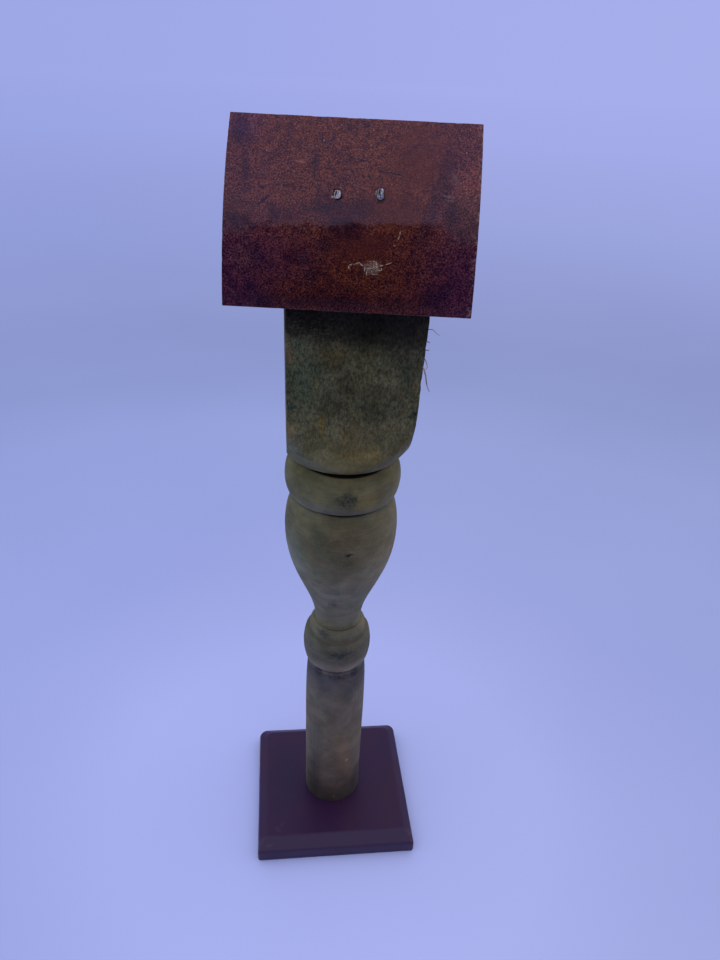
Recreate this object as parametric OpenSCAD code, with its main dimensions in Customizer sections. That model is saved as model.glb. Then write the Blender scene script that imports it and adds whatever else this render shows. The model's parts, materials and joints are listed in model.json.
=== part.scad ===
// Tilt top table in miniature: a turned post on a square foot plate, with a small
// bowed top that swings on a butt hinge between level and upright.
// Millimetres. Origin: centre of the foot plate's underside. +Z up, -Y is the front.

/* [Foot plate] */
// Side of the square foot plate
base_side = 51; // [44:1:70]
// Full thickness of the foot plate
base_height = 6; // [5:0.5:12]
// Height of the upright edge below the bevel
base_edge_height = 4; // [2:0.5:4.5]
// Width of the bevel along the front
base_front_bevel = 4.5; // [1:0.5:8]
// Width of the bevel along the back and the sides
base_side_bevel = 3; // [1:0.5:8]
// Corner radius at the two front corners
base_front_corner = 0.8; // [0.4:0.2:3]
// Corner radius at the two back corners
base_back_corner = 2.5; // [1:0.5:6]

/* [Post] */
// Depth of the square stock that the post is turned from
stock = 32; // [29:0.5:44]
// Width of the block at its lower end
block_w = 30.9; // [29:0.1:44]
// Width of the block at its top
block_top_w = 33.3; // [29:0.1:44]
// How far the block's lower end sits to the right of the turned axis
block_shift = 0.1; // [0:0.1:1.5]
// How far the block's top leans to the right of its lower end
block_lean = 0.7; // [0:0.1:1.5]
// Rounding of the block's four long edges
arris_round = 0.6; // [0.3:0.1:1.5]
// Diameter at the foot
foot_d = 18.3; // [15:0.1:24]
// Diameter of the column at its fullest
column_d = 19.1; // [15:0.1:24]
// Diameter just below the ring
neck_d = 17.1; // [14:0.1:20]
// Length of the column
column_len = 58.7; // [40:0.1:90]
// Diameter of the ring at its lower edge
ring_low_d = 18.7; // [17.4:0.1:26]
// Diameter of the ring at its fullest
ring_d = 20.6; // [19:0.1:28]
// Diameter of the ring at its upper edge
ring_high_d = 19.2; // [17.4:0.1:26]
// Length of the ring
ring_len = 10.6; // [8:0.2:20]
// Diameter of the collar between the ring and the vase
collar_d = 17; // [15:0.1:18.4]
// Length of the collar
collar_len = 3.9; // [2.5:0.1:6]
// Diameter of the vase at its foot
vase_foot_d = 13.6; // [11:0.1:14]
// Length of the vase from its foot to its belly
vase_rise = 33.3; // [20:0.1:45]
// Length of the vase from its belly to the groove
vase_crown = 10.4; // [7:0.2:16]
// Width of bead and belly below the side of the stock
turning_allowance = 0.1; // [0:0.05:1]
// Diameter at the bottom of the grooves
groove_d = 26.4; // [22:0.2:27.6]
// Length of the bead
bead_len = 12.4; // [8:0.2:18]
// Length of the plain groove under the block
quirk_len = 0.8; // [0.4:0.1:2]
// Height over which the block's corners are turned away
shoulder_len = 16.5; // [9:0.1:20]
// Length of the block above the turned shoulder
block_len = 29.25; // [22:0.25:60]

/* [Top] */
// Width of the top
top_w = 53.9; // [44:0.5:90]
// Depth of the top, measured straight across its bow
top_depth = 40.8; // [36:0.2:60]
// Thickness of the top
top_t = 2.5; // [1.5:0.1:4]
// Radius of the bow, on the upper face
bow_r = 61.9; // [50:1:200]
// How far the top sits to the left of the hinge
top_shift = 1.5; // [0:0.5:4]

/* [Cleat] */
// Width of the cleat under the top
cleat_w = 28; // [24:0.5:36]
// Depth of the cleat
cleat_depth = 28; // [24:0.5:32]
// Thickness of the cleat at its crown
cleat_t = 5.04; // [4.5:0.1:8]

/* [Hinge] */
// How far the top is tipped up from level in the pose drawn
tilt = 65.4; // [0:0.1:90]
// Turn of the hinge about the upright, because it is fitted askew
hinge_turn = -8.1; // [-9:0.1:9]
// Distance of the pin in front of the post's axis
pin_forward = 17; // [16.5:0.1:19]
// Sideways place of the hinge
hinge_shift = -0.4; // [-2:0.1:2]
// Length of the hinge along its pin
hinge_len = 19; // [16:0.5:22]
// Reach of each leaf from the pin
leaf_reach = 9; // [8:0.5:12]
// Thickness of the leaves
leaf_t = 0.9; // [0.6:0.1:1.1]
// Outer diameter of the knuckles
knuckle_d = 3; // [2.8:0.1:3.6]
// Diameter of the pin
pin_d = 1.5; // [1:0.1:1.6]
// Diameter of the peened heads of the pin
pin_head_d = 2.2; // [1.9:0.1:2.6]
// Thickness of the peened heads of the pin
pin_head_t = 0.4; // [0.2:0.1:0.8]

/* [Fasteners] */
// Shank diameter of the hinge screws
screw_d = 1.2; // [0.9:0.1:1.6]
// Head diameter of the hinge screws
screw_head_d = 2.4; // [2:0.1:3]
// Length of the two screws in the post
post_screw_len = 6.5; // [4:0.5:12]
// Length of the two screws in the cleat
top_screw_len = 3.4; // [2.4:0.1:3.6]
// Distance between the two screws of a leaf
screw_pitch = 11.6; // [9:0.2:12.4]
// Diameter of the brads that hold the top to the cleat
brad_d = 1.6; // [1:0.1:1.8]
// Head diameter of the brads
brad_head_d = 2.6; // [2:0.1:3.4]
// Distance between the two brads
brad_pitch = 9; // [6:0.5:14]
// How far the brads lie behind the middle of the top
brad_back = 3.5; // [0:0.5:7]
// How far the nipped brads stand above the top
brad_stand = 1; // [0.5:0.1:2]
// Diameter of the nails in the foot
nail_d = 1.8; // [1.2:0.1:2.4]
// Head diameter of the nails in the foot
nail_head_d = 4.2; // [3:0.1:5]
// Length of the nails in the foot
nail_len = 25; // [16:1:40]
// Distance between the two nails
nail_pitch = 9; // [7:0.5:10]

/* [Clearances] */
// Gap between the cleat and the block when the top is level
seat_gap = 0.3; // [0.2:0.1:0.6]
// Radial clearance of a pin, nail, brad or screw in its hole
hole_fit = 0.05; // [0.03:0.01:0.08]
// Side clearance between knuckles and round the leaves
leaf_gap = 0.2; // [0.15:0.05:0.4]

/* [Hidden] */
$fn = 64;

eps = 0.01;              // overlap that joins two shapes of one piece
past = 1;                // how far a cutting shape reaches past the face it opens
steps = 16;              // steps in each curve of the turned outline

// Heights of the turned members, one on top of the other
z_ring = base_height + column_len;
z_collar = z_ring + ring_len;
z_vase = z_collar + collar_len;
z_belly = z_vase + vase_rise;
z_bead = z_belly + vase_crown;
z_quirk = z_bead + bead_len;
z_shoulder = z_quirk + quirk_len;
z_block = z_shoulder + shoulder_len;
z_post_top = z_block + block_len;

// Radii of the turned members
foot_r = foot_d / 2;
neck_r = neck_d / 2;
groove_r = groove_d / 2;
belly_r = stock / 2 - turning_allowance;
collar_r = collar_d / 2;
vase_foot_r = vase_foot_d / 2;

// The block's turned shoulder ends where it meets the corners of the widening block
shoulder_share = shoulder_len / (shoulder_len + block_len);
shoulder_half_w = block_w / 2 + shoulder_share * (block_top_w / 2 + block_lean - block_w / 2);
block_corner_r = norm([stock / 2, shoulder_half_w + block_shift]);
shoulder_step = 2;                      // how far the block's lower edge overhangs the groove
shoulder_start_r = groove_r + shoulder_step;
shoulder_edge = 0.8;                    // width of the small flat round that edge
shoulder_low = 0.35;                    // handles of the shoulder's curve, as shares of
shoulder_high = 0.7;                    // its length and, for the first, of its rise
shoulder_spread = 0.65;

// Hinge: the pin lies half the seat gap above the block
pin_z = z_post_top + seat_gap / 2;
knuckle_r = knuckle_d / 2;
knuckle_len = (hinge_len - 2 * leaf_gap) / 3;
leaf_face = knuckle_r - leaf_t;            // face of a leaf, measured from the pin's axis
leaf_start = knuckle_r + leaf_gap;         // where a leaf begins beside the other's knuckle
screw_reach = (leaf_start + leaf_reach) / 2;
head_h = (screw_head_d - screw_d) / 2;     // depth of a countersunk head
head_recess = 0.05;                        // heads lie this far below the leaf's face
point_len = 1.6;                           // length of a screw's point
screw_point_r = 0.1;

// Top: its bow is a ring sector about an axis that lies far below it
cleat_start = knuckle_r + 0.5;
top_middle = cleat_start + cleat_depth / 2;
bow_inner_r = bow_r - top_t;
cleat_under = seat_gap / 2;
bow_z = cleat_under + cleat_t - bow_inner_r;
bow_half = asin(top_depth / 2 / bow_r);
brad_reach = top_middle + brad_back;
brad_head_h = 0.5;
brad_recess = 0.3;
bite_angle = 48;                           // slope of the two cuts that nip a brad
bite_skew = 10;                            // turn of both cuts, left or right
bite_ridge = 0.15;                         // height left between the cuts

nail_head_h = 0.8;
nail_recess = 0.3;
nail_point_len = 3;
nail_point_r = 0.15;
nail_hole_end = 0.5;                       // the hole runs on this far past the point

wood = [0.33, 0.30, 0.22];
base_colour = [0.22, 0.14, 0.22];
panel_colour = [0.36, 0.17, 0.13];
cleat_colour = [0.42, 0.31, 0.20];
brass = [0.72, 0.58, 0.30];
steel = [0.62, 0.63, 0.66];

// ---- helpers ----

function bezier(p0, p1, p2, p3) =
    [for (i = [0 : steps]) let (t = i / steps)
        pow(1 - t, 3) * p0 + 3 * pow(1 - t, 2) * t * p1 + 3 * (1 - t) * t * t * p2 + pow(t, 3) * p3];

// Rectangle with four round corners, its middle at the origin
module rounded_rect(w, d, r) {
    square([w - 2 * r, d], center = true);
    square([w, d - 2 * r], center = true);
    for (x = [-1, 1], y = [-1, 1]) translate([x * (w / 2 - r), y * (d / 2 - r)]) circle(r);
}

// Corners of the foot plate, drawn in from its edges at the front and at the other sides
module base_corners(front_inset, side_inset) {
    half = base_side / 2;
    for (x = [-1, 1], y = [-1, 1]) {
        r = y < 0 ? base_front_corner : base_back_corner;
        inset = y < 0 ? front_inset : side_inset;
        translate([x * (half - side_inset - r), y * (half - inset - r)]) circle(r, $fn = 32);
    }
}

// Frame of the hinge: X along the pin, Y to the back, Z up from the pin's axis
module at_hinge() {
    translate([hinge_shift, -pin_forward, pin_z]) rotate([0, 0, hinge_turn]) children();
}

// The same frame, tipped with the top
module at_top() {
    at_hinge() rotate([tilt, 0, 0]) children();
}

// A cylinder along X from x0 to x1
module rod_x(r, x0, x1) {
    translate([x0, 0, 0]) rotate([0, 90, 0]) cylinder(r = r, h = x1 - x0);
}

// Countersunk wood screw, its head's face at z = 0, pointing down
module wood_screw(len) {
    difference() {
        union() {
            translate([0, 0, -head_h]) cylinder(r1 = screw_d / 2, r2 = screw_head_d / 2, h = head_h);
            translate([0, 0, -len + point_len]) cylinder(r = screw_d / 2, h = len - point_len - head_h + eps);
            translate([0, 0, -len]) cylinder(r1 = screw_point_r, r2 = screw_d / 2, h = point_len);
        }
        slot_w = screw_head_d / 8;
        translate([-screw_head_d, -slot_w / 2, -head_h / 3]) cube([2 * screw_head_d, slot_w, head_h]);
    }
}

// The pilot hole of such a screw
module screw_pilot(len) {
    translate([0, 0, -len - hole_fit]) cylinder(r = screw_d / 2 + hole_fit, h = len);
}

// The countersunk hole of such a screw in a leaf
module screw_hole() {
    translate([0, 0, -leaf_t - past]) cylinder(r = screw_d / 2 + hole_fit, h = leaf_t + 2 * past);
    translate([0, 0, -head_h - head_recess])
        cylinder(r1 = screw_d / 2 + hole_fit, r2 = screw_head_d / 2 + hole_fit, h = head_h);
    translate([0, 0, -head_recess - eps]) cylinder(r = screw_head_d / 2 + hole_fit, h = past);
}

// Place of a leaf's screw, with the screw's head up
module at_screw(side) {
    translate([side * screw_pitch / 2, screw_reach, -leaf_face]) children();
}

// Turns a thing in the post's leaf over into the top's leaf
module other_leaf() {
    mirror([0, 0, 1]) children();
}

// ---- foot plate ----

module nail_place(side) {
    translate([side * nail_pitch / 2, 0, 0]) children();
}

module base_plate() {
    color(base_colour) difference() {
        hull() {
            linear_extrude(base_edge_height) base_corners(0, 0);
            linear_extrude(base_height) base_corners(base_front_bevel, base_side_bevel);
        }
        for (side = [-1, 1]) nail_place(side) {
            translate([0, 0, -past]) cylinder(r = nail_d / 2 + hole_fit, h = base_height + 2 * past);
            translate([0, 0, -past])
                cylinder(r = nail_head_d / 2 + hole_fit, h = nail_recess + nail_head_h + past);
        }
    }
}

module base_nail(side) {
    color(steel) nail_place(side) {
        translate([0, 0, nail_recess]) cylinder(r = nail_head_d / 2, h = nail_head_h);
        translate([0, 0, nail_recess + nail_head_h - eps])
            cylinder(r = nail_d / 2, h = nail_len - nail_head_h - nail_point_len);
        translate([0, 0, nail_recess + nail_len - nail_point_len - 2 * eps])
            cylinder(r1 = nail_d / 2, r2 = nail_point_r, h = nail_point_len);
    }
}

// ---- post ----

// Half outline of the turned length, from the foot to the groove under the block
module turned_outline() {
    // the column swells most near its top; a curve's handle lies beyond the swell it makes
    swell_r = column_d / 2 + 0.45;
    column = bezier([foot_r, base_height], [foot_r, base_height + 0.45 * column_len],
                    [swell_r, base_height + 0.9 * column_len], [neck_r, z_ring]);
    ring_handle = ring_d / 2 + (ring_d - ring_low_d / 2 - ring_high_d / 2) / 6;
    ring = bezier([ring_low_d / 2, z_ring], [ring_handle, z_ring + 0.31 * ring_len],
                  [ring_handle, z_ring + 0.69 * ring_len], [ring_high_d / 2, z_collar]);
    collar = bezier([collar_r, z_collar], [collar_r, z_collar + 0.6 * collar_len],
                    [collar_r - 0.2, z_vase], [vase_foot_r + 0.3, z_vase]);
    vase = bezier([vase_foot_r, z_vase], [vase_foot_r + 0.2, z_vase + 0.29 * vase_rise],
                  [belly_r, z_vase + 0.57 * vase_rise], [belly_r, z_belly]);
    crown = [for (i = [1 : steps]) let (a = 90 * i / steps)
        [groove_r + (belly_r - groove_r) * cos(a), z_belly + vase_crown * sin(a)]];
    bead = [for (i = [1 : steps]) let (a = 180 * i / steps)
        [groove_r + (belly_r - groove_r) * sin(a), z_bead + bead_len * (1 - cos(a)) / 2]];
    polygon(concat([[0, base_height]], column, ring, collar, vase, crown, bead,
                   [[groove_r, z_shoulder + 1], [0, z_shoulder + 1]]));
}

// Half outline that turns the block's corners away at its lower end
module shoulder_outline() {
    beyond = block_corner_r + 2 * past;
    spread_r = (1 - shoulder_spread) * shoulder_start_r + shoulder_spread * block_corner_r;
    polygon(concat([[0, z_shoulder], [shoulder_start_r - shoulder_edge, z_shoulder]],
                   bezier([shoulder_start_r, z_shoulder], [spread_r, z_shoulder + shoulder_low * shoulder_len],
                          [block_corner_r, z_shoulder + shoulder_high * shoulder_len], [block_corner_r, z_block]),
                   [[beyond, z_block], [beyond, z_post_top], [0, z_post_top]]));
}

// The square block, a little wider at its top and leaning off the turned axis
module block() {
    height = z_post_top - z_shoulder;
    low = block_w / 2;
    high = block_top_w / 2;
    translate([block_shift, 0, z_shoulder]) intersection() {
        translate([block_lean, 0, 0]) linear_extrude(height) rounded_rect(block_top_w, stock, arris_round);
        rotate([90, 0, 0]) linear_extrude(stock + 2 * past, center = true)
            polygon([[-low, 0], [low, 0], [block_lean + high, height], [block_lean - high, height]]);
    }
}

module post() {
    color(wood) difference() {
        union() {
            rotate_extrude() turned_outline();
            intersection() {
                block();
                rotate_extrude() shoulder_outline();
            }
        }
        for (side = [-1, 1]) nail_place(side)
            translate([0, 0, base_height - 1]) cylinder(r = nail_d / 2 + hole_fit,
                                                        h = nail_recess + nail_len - base_height + 1 + nail_hole_end);
        at_hinge() {
            // mortise for the leaf, open to the front
            translate([-hinge_len / 2 - leaf_gap, -stock / 2, -knuckle_r])
                cube([hinge_len + 2 * leaf_gap, stock / 2 + leaf_reach + leaf_gap, knuckle_r + 1]);
            // room for the knuckles and the pin's heads
            rod_x(knuckle_r + leaf_gap, -hinge_len / 2 - pin_head_t - 2 * leaf_gap,
                  hinge_len / 2 + pin_head_t + 2 * leaf_gap);
            for (side = [-1, 1]) at_screw(side) screw_pilot(post_screw_len);
        }
    }
}

// ---- hinge ----

// One leaf lying in its mortise; knuckles is a list of the stretches of barrel it carries
module leaf(knuckles) {
    difference() {
        union() {
            translate([0, (leaf_start + leaf_reach) / 2, -knuckle_r]) linear_extrude(leaf_t)
                rounded_rect(hinge_len, leaf_reach - leaf_start, leaf_gap);
            for (k = knuckles) {
                rod_x(knuckle_r, k[0], k[1]);
                translate([k[0], 0, -knuckle_r]) cube([k[1] - k[0], leaf_start + leaf_t, leaf_t]);
            }
        }
        rod_x(pin_d / 2 + hole_fit, -hinge_len, hinge_len);
        for (side = [-1, 1]) at_screw(side) screw_hole();
    }
}

module hinge_leaf_post() {
    color(brass) at_hinge() leaf([[-hinge_len / 2, -hinge_len / 2 + knuckle_len],
                                  [hinge_len / 2 - knuckle_len, hinge_len / 2]]);
}

module hinge_leaf_top() {
    color(brass) at_top() other_leaf() leaf([[-knuckle_len / 2, knuckle_len / 2]]);
}

module hinge_pin() {
    color(steel) at_hinge() {
        rod_x(pin_d / 2, -hinge_len / 2 - pin_head_t, hinge_len / 2 + pin_head_t);
        for (side = [-1, 1]) scale([side, 1, 1])
            rod_x(pin_head_d / 2, hinge_len / 2 + hole_fit, hinge_len / 2 + pin_head_t);
    }
}

module hinge_screw_post(side) {
    color(brass) at_hinge() at_screw(side) translate([0, 0, -head_recess]) wood_screw(post_screw_len);
}

module hinge_screw_top(side) {
    color(brass) at_top() other_leaf() at_screw(side) translate([0, 0, -head_recess]) wood_screw(top_screw_len);
}

// ---- top ----

// Solid cylinder of the bow, in the frame of the top
module bow_cylinder(r, w) {
    translate([0, top_middle, bow_z]) rod_x(r, -w / 2, w / 2);
}

module top_cleat() {
    color(cleat_colour) at_top() difference() {
        intersection() {
            translate([-cleat_w / 2, cleat_start, cleat_under]) cube([cleat_w, cleat_depth, cleat_t + past]);
            bow_cylinder(bow_inner_r, cleat_w + 2 * past);
        }
        // mortise for the leaf, open to the front
        translate([-hinge_len / 2 - leaf_gap, 0, 0])
            cube([hinge_len + 2 * leaf_gap, leaf_reach + leaf_gap, knuckle_r]);
        for (side = [-1, 1]) {
            other_leaf() at_screw(side) screw_pilot(top_screw_len);
            brad_place(side) {
                cylinder(r = brad_d / 2 + hole_fit, h = cleat_t + 2 * past);
                cylinder(r = brad_head_d / 2 + hole_fit, h = cleat_under + brad_recess + brad_head_h);
            }
        }
    }
}

module brad_place(side) {
    translate([side * brad_pitch / 2, brad_reach, 0]) children();
}

// A brad driven up through cleat and top, its point nipped off in two bites
module top_brad(side) {
    brad_top = bow_z + sqrt(bow_r * bow_r - brad_back * brad_back) + brad_stand;
    color(steel) at_top() brad_place(side) {
        translate([0, 0, cleat_under + brad_recess]) cylinder(r = brad_head_d / 2, h = brad_head_h);
        difference() {
            translate([0, 0, cleat_under + brad_recess + brad_head_h - eps])
                cylinder(r = brad_d / 2, h = brad_top - cleat_under - brad_recess - brad_head_h);
            for (bite = [-1, 1]) translate([0, 0, brad_top - bite_ridge])
                rotate([0, bite * bite_angle + side * bite_skew, 0])
                translate([-brad_d, -brad_d, 0]) cube([2 * brad_d, 2 * brad_d, 2 * brad_d]);
        }
    }
}

module top_panel() {
    sweep_w = top_w + 2 * past;
    color(panel_colour) at_top() translate([-top_shift, 0, 0]) difference() {
        intersection() {
            bow_cylinder(bow_r, top_w);
            // wedge that cuts both long edges square to the bow
            translate([-sweep_w / 2, top_middle, bow_z]) rotate([90, 0, 90]) linear_extrude(sweep_w)
                polygon([[0, 0], 2 * bow_r * [-tan(bow_half), 1], 2 * bow_r * [tan(bow_half), 1]]);
        }
        bow_cylinder(bow_inner_r, sweep_w + 2 * past);
        for (side = [-1, 1]) translate([top_shift, 0, 0]) brad_place(side)
            cylinder(r = brad_d / 2 + hole_fit, h = 2 * bow_r);
    }
}

base_plate();
base_nail(-1);  // base_nail_left
base_nail(1);  // base_nail_right
post();
hinge_leaf_post();
hinge_screw_post(-1);  // hinge_screw_post_left
hinge_screw_post(1);  // hinge_screw_post_right
hinge_pin();
hinge_leaf_top();
hinge_screw_top(-1);  // hinge_screw_top_left
hinge_screw_top(1);  // hinge_screw_top_right
top_cleat();
top_brad(-1);  // top_brad_left
top_brad(1);  // top_brad_right
top_panel();
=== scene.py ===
"""Looks of the miniature tilt top table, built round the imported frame.

Metres, in the frame's own axes: +Z up, -Y to the front. The post, the foot plate, the top and the
two brads are modelled again over their solids, with worn edges, tool marks, loose fibres and
nipped ends; the cleat, the hinge, the screws and the nails are the frame's own meshes with
materials of their own.
"""

import json
import math

import bpy
import numpy as np
from mathutils import Matrix, Vector
from mathutils.bvhtree import BVHTree


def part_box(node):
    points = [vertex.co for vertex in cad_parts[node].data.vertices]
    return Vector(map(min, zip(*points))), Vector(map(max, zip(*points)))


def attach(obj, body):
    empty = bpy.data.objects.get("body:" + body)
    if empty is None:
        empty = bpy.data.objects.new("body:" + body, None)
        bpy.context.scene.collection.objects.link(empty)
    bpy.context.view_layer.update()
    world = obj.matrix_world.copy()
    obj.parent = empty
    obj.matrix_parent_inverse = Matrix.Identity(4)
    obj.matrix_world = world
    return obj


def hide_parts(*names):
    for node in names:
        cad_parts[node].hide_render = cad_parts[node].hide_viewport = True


MM = 0.001

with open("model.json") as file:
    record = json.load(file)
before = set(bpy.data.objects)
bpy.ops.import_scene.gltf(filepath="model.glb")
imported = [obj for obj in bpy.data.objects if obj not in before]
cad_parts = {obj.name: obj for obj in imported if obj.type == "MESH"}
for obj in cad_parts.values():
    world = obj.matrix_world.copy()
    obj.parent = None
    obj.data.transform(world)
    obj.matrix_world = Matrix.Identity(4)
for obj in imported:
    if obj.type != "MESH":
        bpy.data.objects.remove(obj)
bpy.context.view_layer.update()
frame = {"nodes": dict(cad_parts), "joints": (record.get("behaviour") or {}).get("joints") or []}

# ---- places taken from the frame

JOINT = frame["joints"][0]
PIN = Vector(JOINT["pos_m"])
PIN_AXIS = Vector(JOINT["axis"]).normalized()
REST_TILT = math.radians(-JOINT["range_deg"][0])
HINGE_TURN = math.atan2(PIN_AXIS.y, PIN_AXIS.x)
# frame of the hinge: X along the pin, Z up; frame of the top: the same, but tipped up with the top
HINGE_FRAME = Matrix.Translation(PIN) @ Matrix.Rotation(HINGE_TURN, 4, "Z")
TOP_FRAME = HINGE_FRAME @ Matrix.Rotation(REST_TILT, 4, "X")
POST_LOW, POST_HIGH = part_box("post")
BASE_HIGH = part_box("base_plate")[1]
POST_HALF = POST_HIGH.y


def local_points(node, matrix):
    """Vertices of a CAD node in the frame given by matrix, as an array."""
    back = matrix.inverted()
    return np.array([back @ v.co for v in frame["nodes"][node].data.vertices])


# ---- numeric noise for the meshes

def lattice_noise(points, cell, seed, size=24):
    """Smooth noise from -1 to 1 at each point; cell is the lattice step, one number or three."""
    table = np.random.default_rng(seed).random((size, size, size)) * 2 - 1
    at = np.asarray(points, float) / np.asarray(cell, float)
    low = np.floor(at).astype(int)
    part = at - low
    part = part * part * (3 - 2 * part)
    total = np.zeros(len(at))
    for corner in range(8):
        step = np.array([corner >> 2 & 1, corner >> 1 & 1, corner & 1])
        weight = np.prod(np.where(step, part, 1 - part), axis=1)
        i, j, k = ((low + step) % size).T
        total += weight * table[i, j, k]
    return total


def layered_noise(points, cell, seed, layers=3):
    """The same noise with finer and weaker layers of itself added, each at half the step."""
    cell = np.asarray(cell, float)
    parts = [lattice_noise(points, cell / 2**n, seed + n) / 2**n for n in range(layers)]
    return sum(parts) / sum(1 / 2**n for n in range(layers))


# ---- mesh helpers

def new_object(name, vertices, faces, sharp_deg=None):
    """A mesh object in the scene, shaded smooth but for edges sharper than sharp_deg."""
    mesh = bpy.data.meshes.new(name)
    mesh.from_pydata([tuple(v) for v in vertices], [], [tuple(int(i) for i in f) for f in faces])
    mesh.validate()
    thing = bpy.data.objects.new(name, mesh)
    bpy.context.scene.collection.objects.link(thing)
    smooth(thing, sharp_deg)
    return thing


def smooth(thing, sharp_deg):
    thing.data.shade_smooth()
    if sharp_deg is not None:
        thing.data.set_sharp_from_angle(angle=math.radians(sharp_deg))


def ring_faces(rows, columns):
    """Quads between closed rings of columns points each, ring after ring, facing outwards."""
    faces = []
    for row in range(rows - 1):
        for column in range(columns):
            after = (column + 1) % columns
            a, b = row * columns + column, row * columns + after
            faces.append((a, b, b + columns, a + columns))
    return faces


def tube_faces(rows, columns):
    """The same rings with their first and last closed by a flat face."""
    last = (rows - 1) * columns
    return ring_faces(rows, columns) + [tuple(reversed(range(columns))), tuple(range(last, last + columns))]


def cut(thing, cutters):
    """Subtracts the cutters from a mesh and removes them."""
    for cutter in cutters:
        modifier = thing.modifiers.new("cut", "BOOLEAN")
        modifier.operation = "DIFFERENCE"
        modifier.solver = "MANIFOLD"
        modifier.object = cutter
        bpy.context.view_layer.update()
        deps = bpy.context.evaluated_depsgraph_get()
        mesh = bpy.data.meshes.new_from_object(thing.evaluated_get(deps))
        thing.modifiers.remove(modifier)
        old, thing.data = thing.data, mesh
        bpy.data.meshes.remove(old)
        bpy.data.objects.remove(cutter)


def spaced(low, high, step, fine=()):
    """Places from low to high about step apart, and closer in each (middle, half width, step)."""
    places = list(np.linspace(low, high, round((high - low) / step) + 1))
    for middle, half, small in fine:
        places = [at for at in places if abs(at - middle) > half + small / 2 or at in (low, high)]
        places += [at for at in np.arange(middle - half, middle + half + small / 2, small) if low < at < high]
    return np.array(sorted(places))


def box_grid(xs, ys, zs):
    """Closed surface of a box with grid lines at the given places, as points and faces."""
    lines = (xs, ys, zs)
    index = {}
    faces = []

    def corner(axis, end, i, j):
        key = [0, 0, 0]
        key[axis] = end
        key[(axis + 1) % 3] = i
        key[(axis + 2) % 3] = j
        return index.setdefault(tuple(key), len(index))

    for axis in range(3):
        for end in (0, len(lines[axis]) - 1):
            for i in range(len(lines[(axis + 1) % 3]) - 1):
                for j in range(len(lines[(axis + 2) % 3]) - 1):
                    quad = [corner(axis, end, i + a, j + b) for a, b in ((0, 0), (1, 0), (1, 1), (0, 1))]
                    faces.append(quad if end else quad[::-1])
    points = np.array([[line[i] for line, i in zip(lines, key)] for key in index])
    return points, faces


def round_edges(points, low, high, radius):
    """Pulls the points near a box's edges on to round edges of the radius."""
    inner = np.clip(points, np.add(low, radius), np.subtract(high, radius))
    out = points - inner
    length = np.linalg.norm(out, axis=1, keepdims=True)
    return np.where(length > 0, inner + out / np.maximum(length, 1e-9) * radius, points)


def bell(distance, width):
    """1 at distance 0, falling off to both sides."""
    return np.exp(-((distance / width) ** 2))


def ramp_up(value, low, high):
    """0 below low, 1 above high, smooth between."""
    part = np.clip((value - low) / (high - low), 0, 1)
    return part * part * (3 - 2 * part)


def round_angles(count):
    """Angles evenly spaced round a circle, from 0 on."""
    return np.linspace(0, 2 * math.pi, count, endpoint=False)


def outwards(points, middle=(0, 0, 0)):
    """Level unit vectors that point from the middle to each point."""
    out = np.column_stack([points[:, :2] - middle[:2], np.zeros(len(points))])
    return out / np.maximum(np.linalg.norm(out, axis=1, keepdims=True), 1e-9)


def box_object(matrix, low, high):
    """A plain box from low to high in the frame given by matrix, used as a cutter."""
    corners = [matrix @ Vector((x, y, z)) for x in (low[0], high[0])
               for y in (low[1], high[1]) for z in (low[2], high[2])]
    faces = [(0, 1, 3, 2), (4, 6, 7, 5), (0, 4, 5, 1), (2, 3, 7, 6), (0, 2, 6, 4), (1, 5, 7, 3)]
    return new_object("cutter", corners, faces)


def rod_object(matrix, radius, start, end, sides=32):
    """A cylinder along the matrix's X axis from start to end, used as a cutter."""
    rings = [[matrix @ Vector((x, radius * math.cos(a), radius * math.sin(a)))
              for a in round_angles(sides)] for x in (start, end)]
    return new_object("cutter", rings[0] + rings[1], tube_faces(2, sides))


# ---- shader helpers

EVERYWHERE = 1e4  # a radius that reaches past everything


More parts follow.
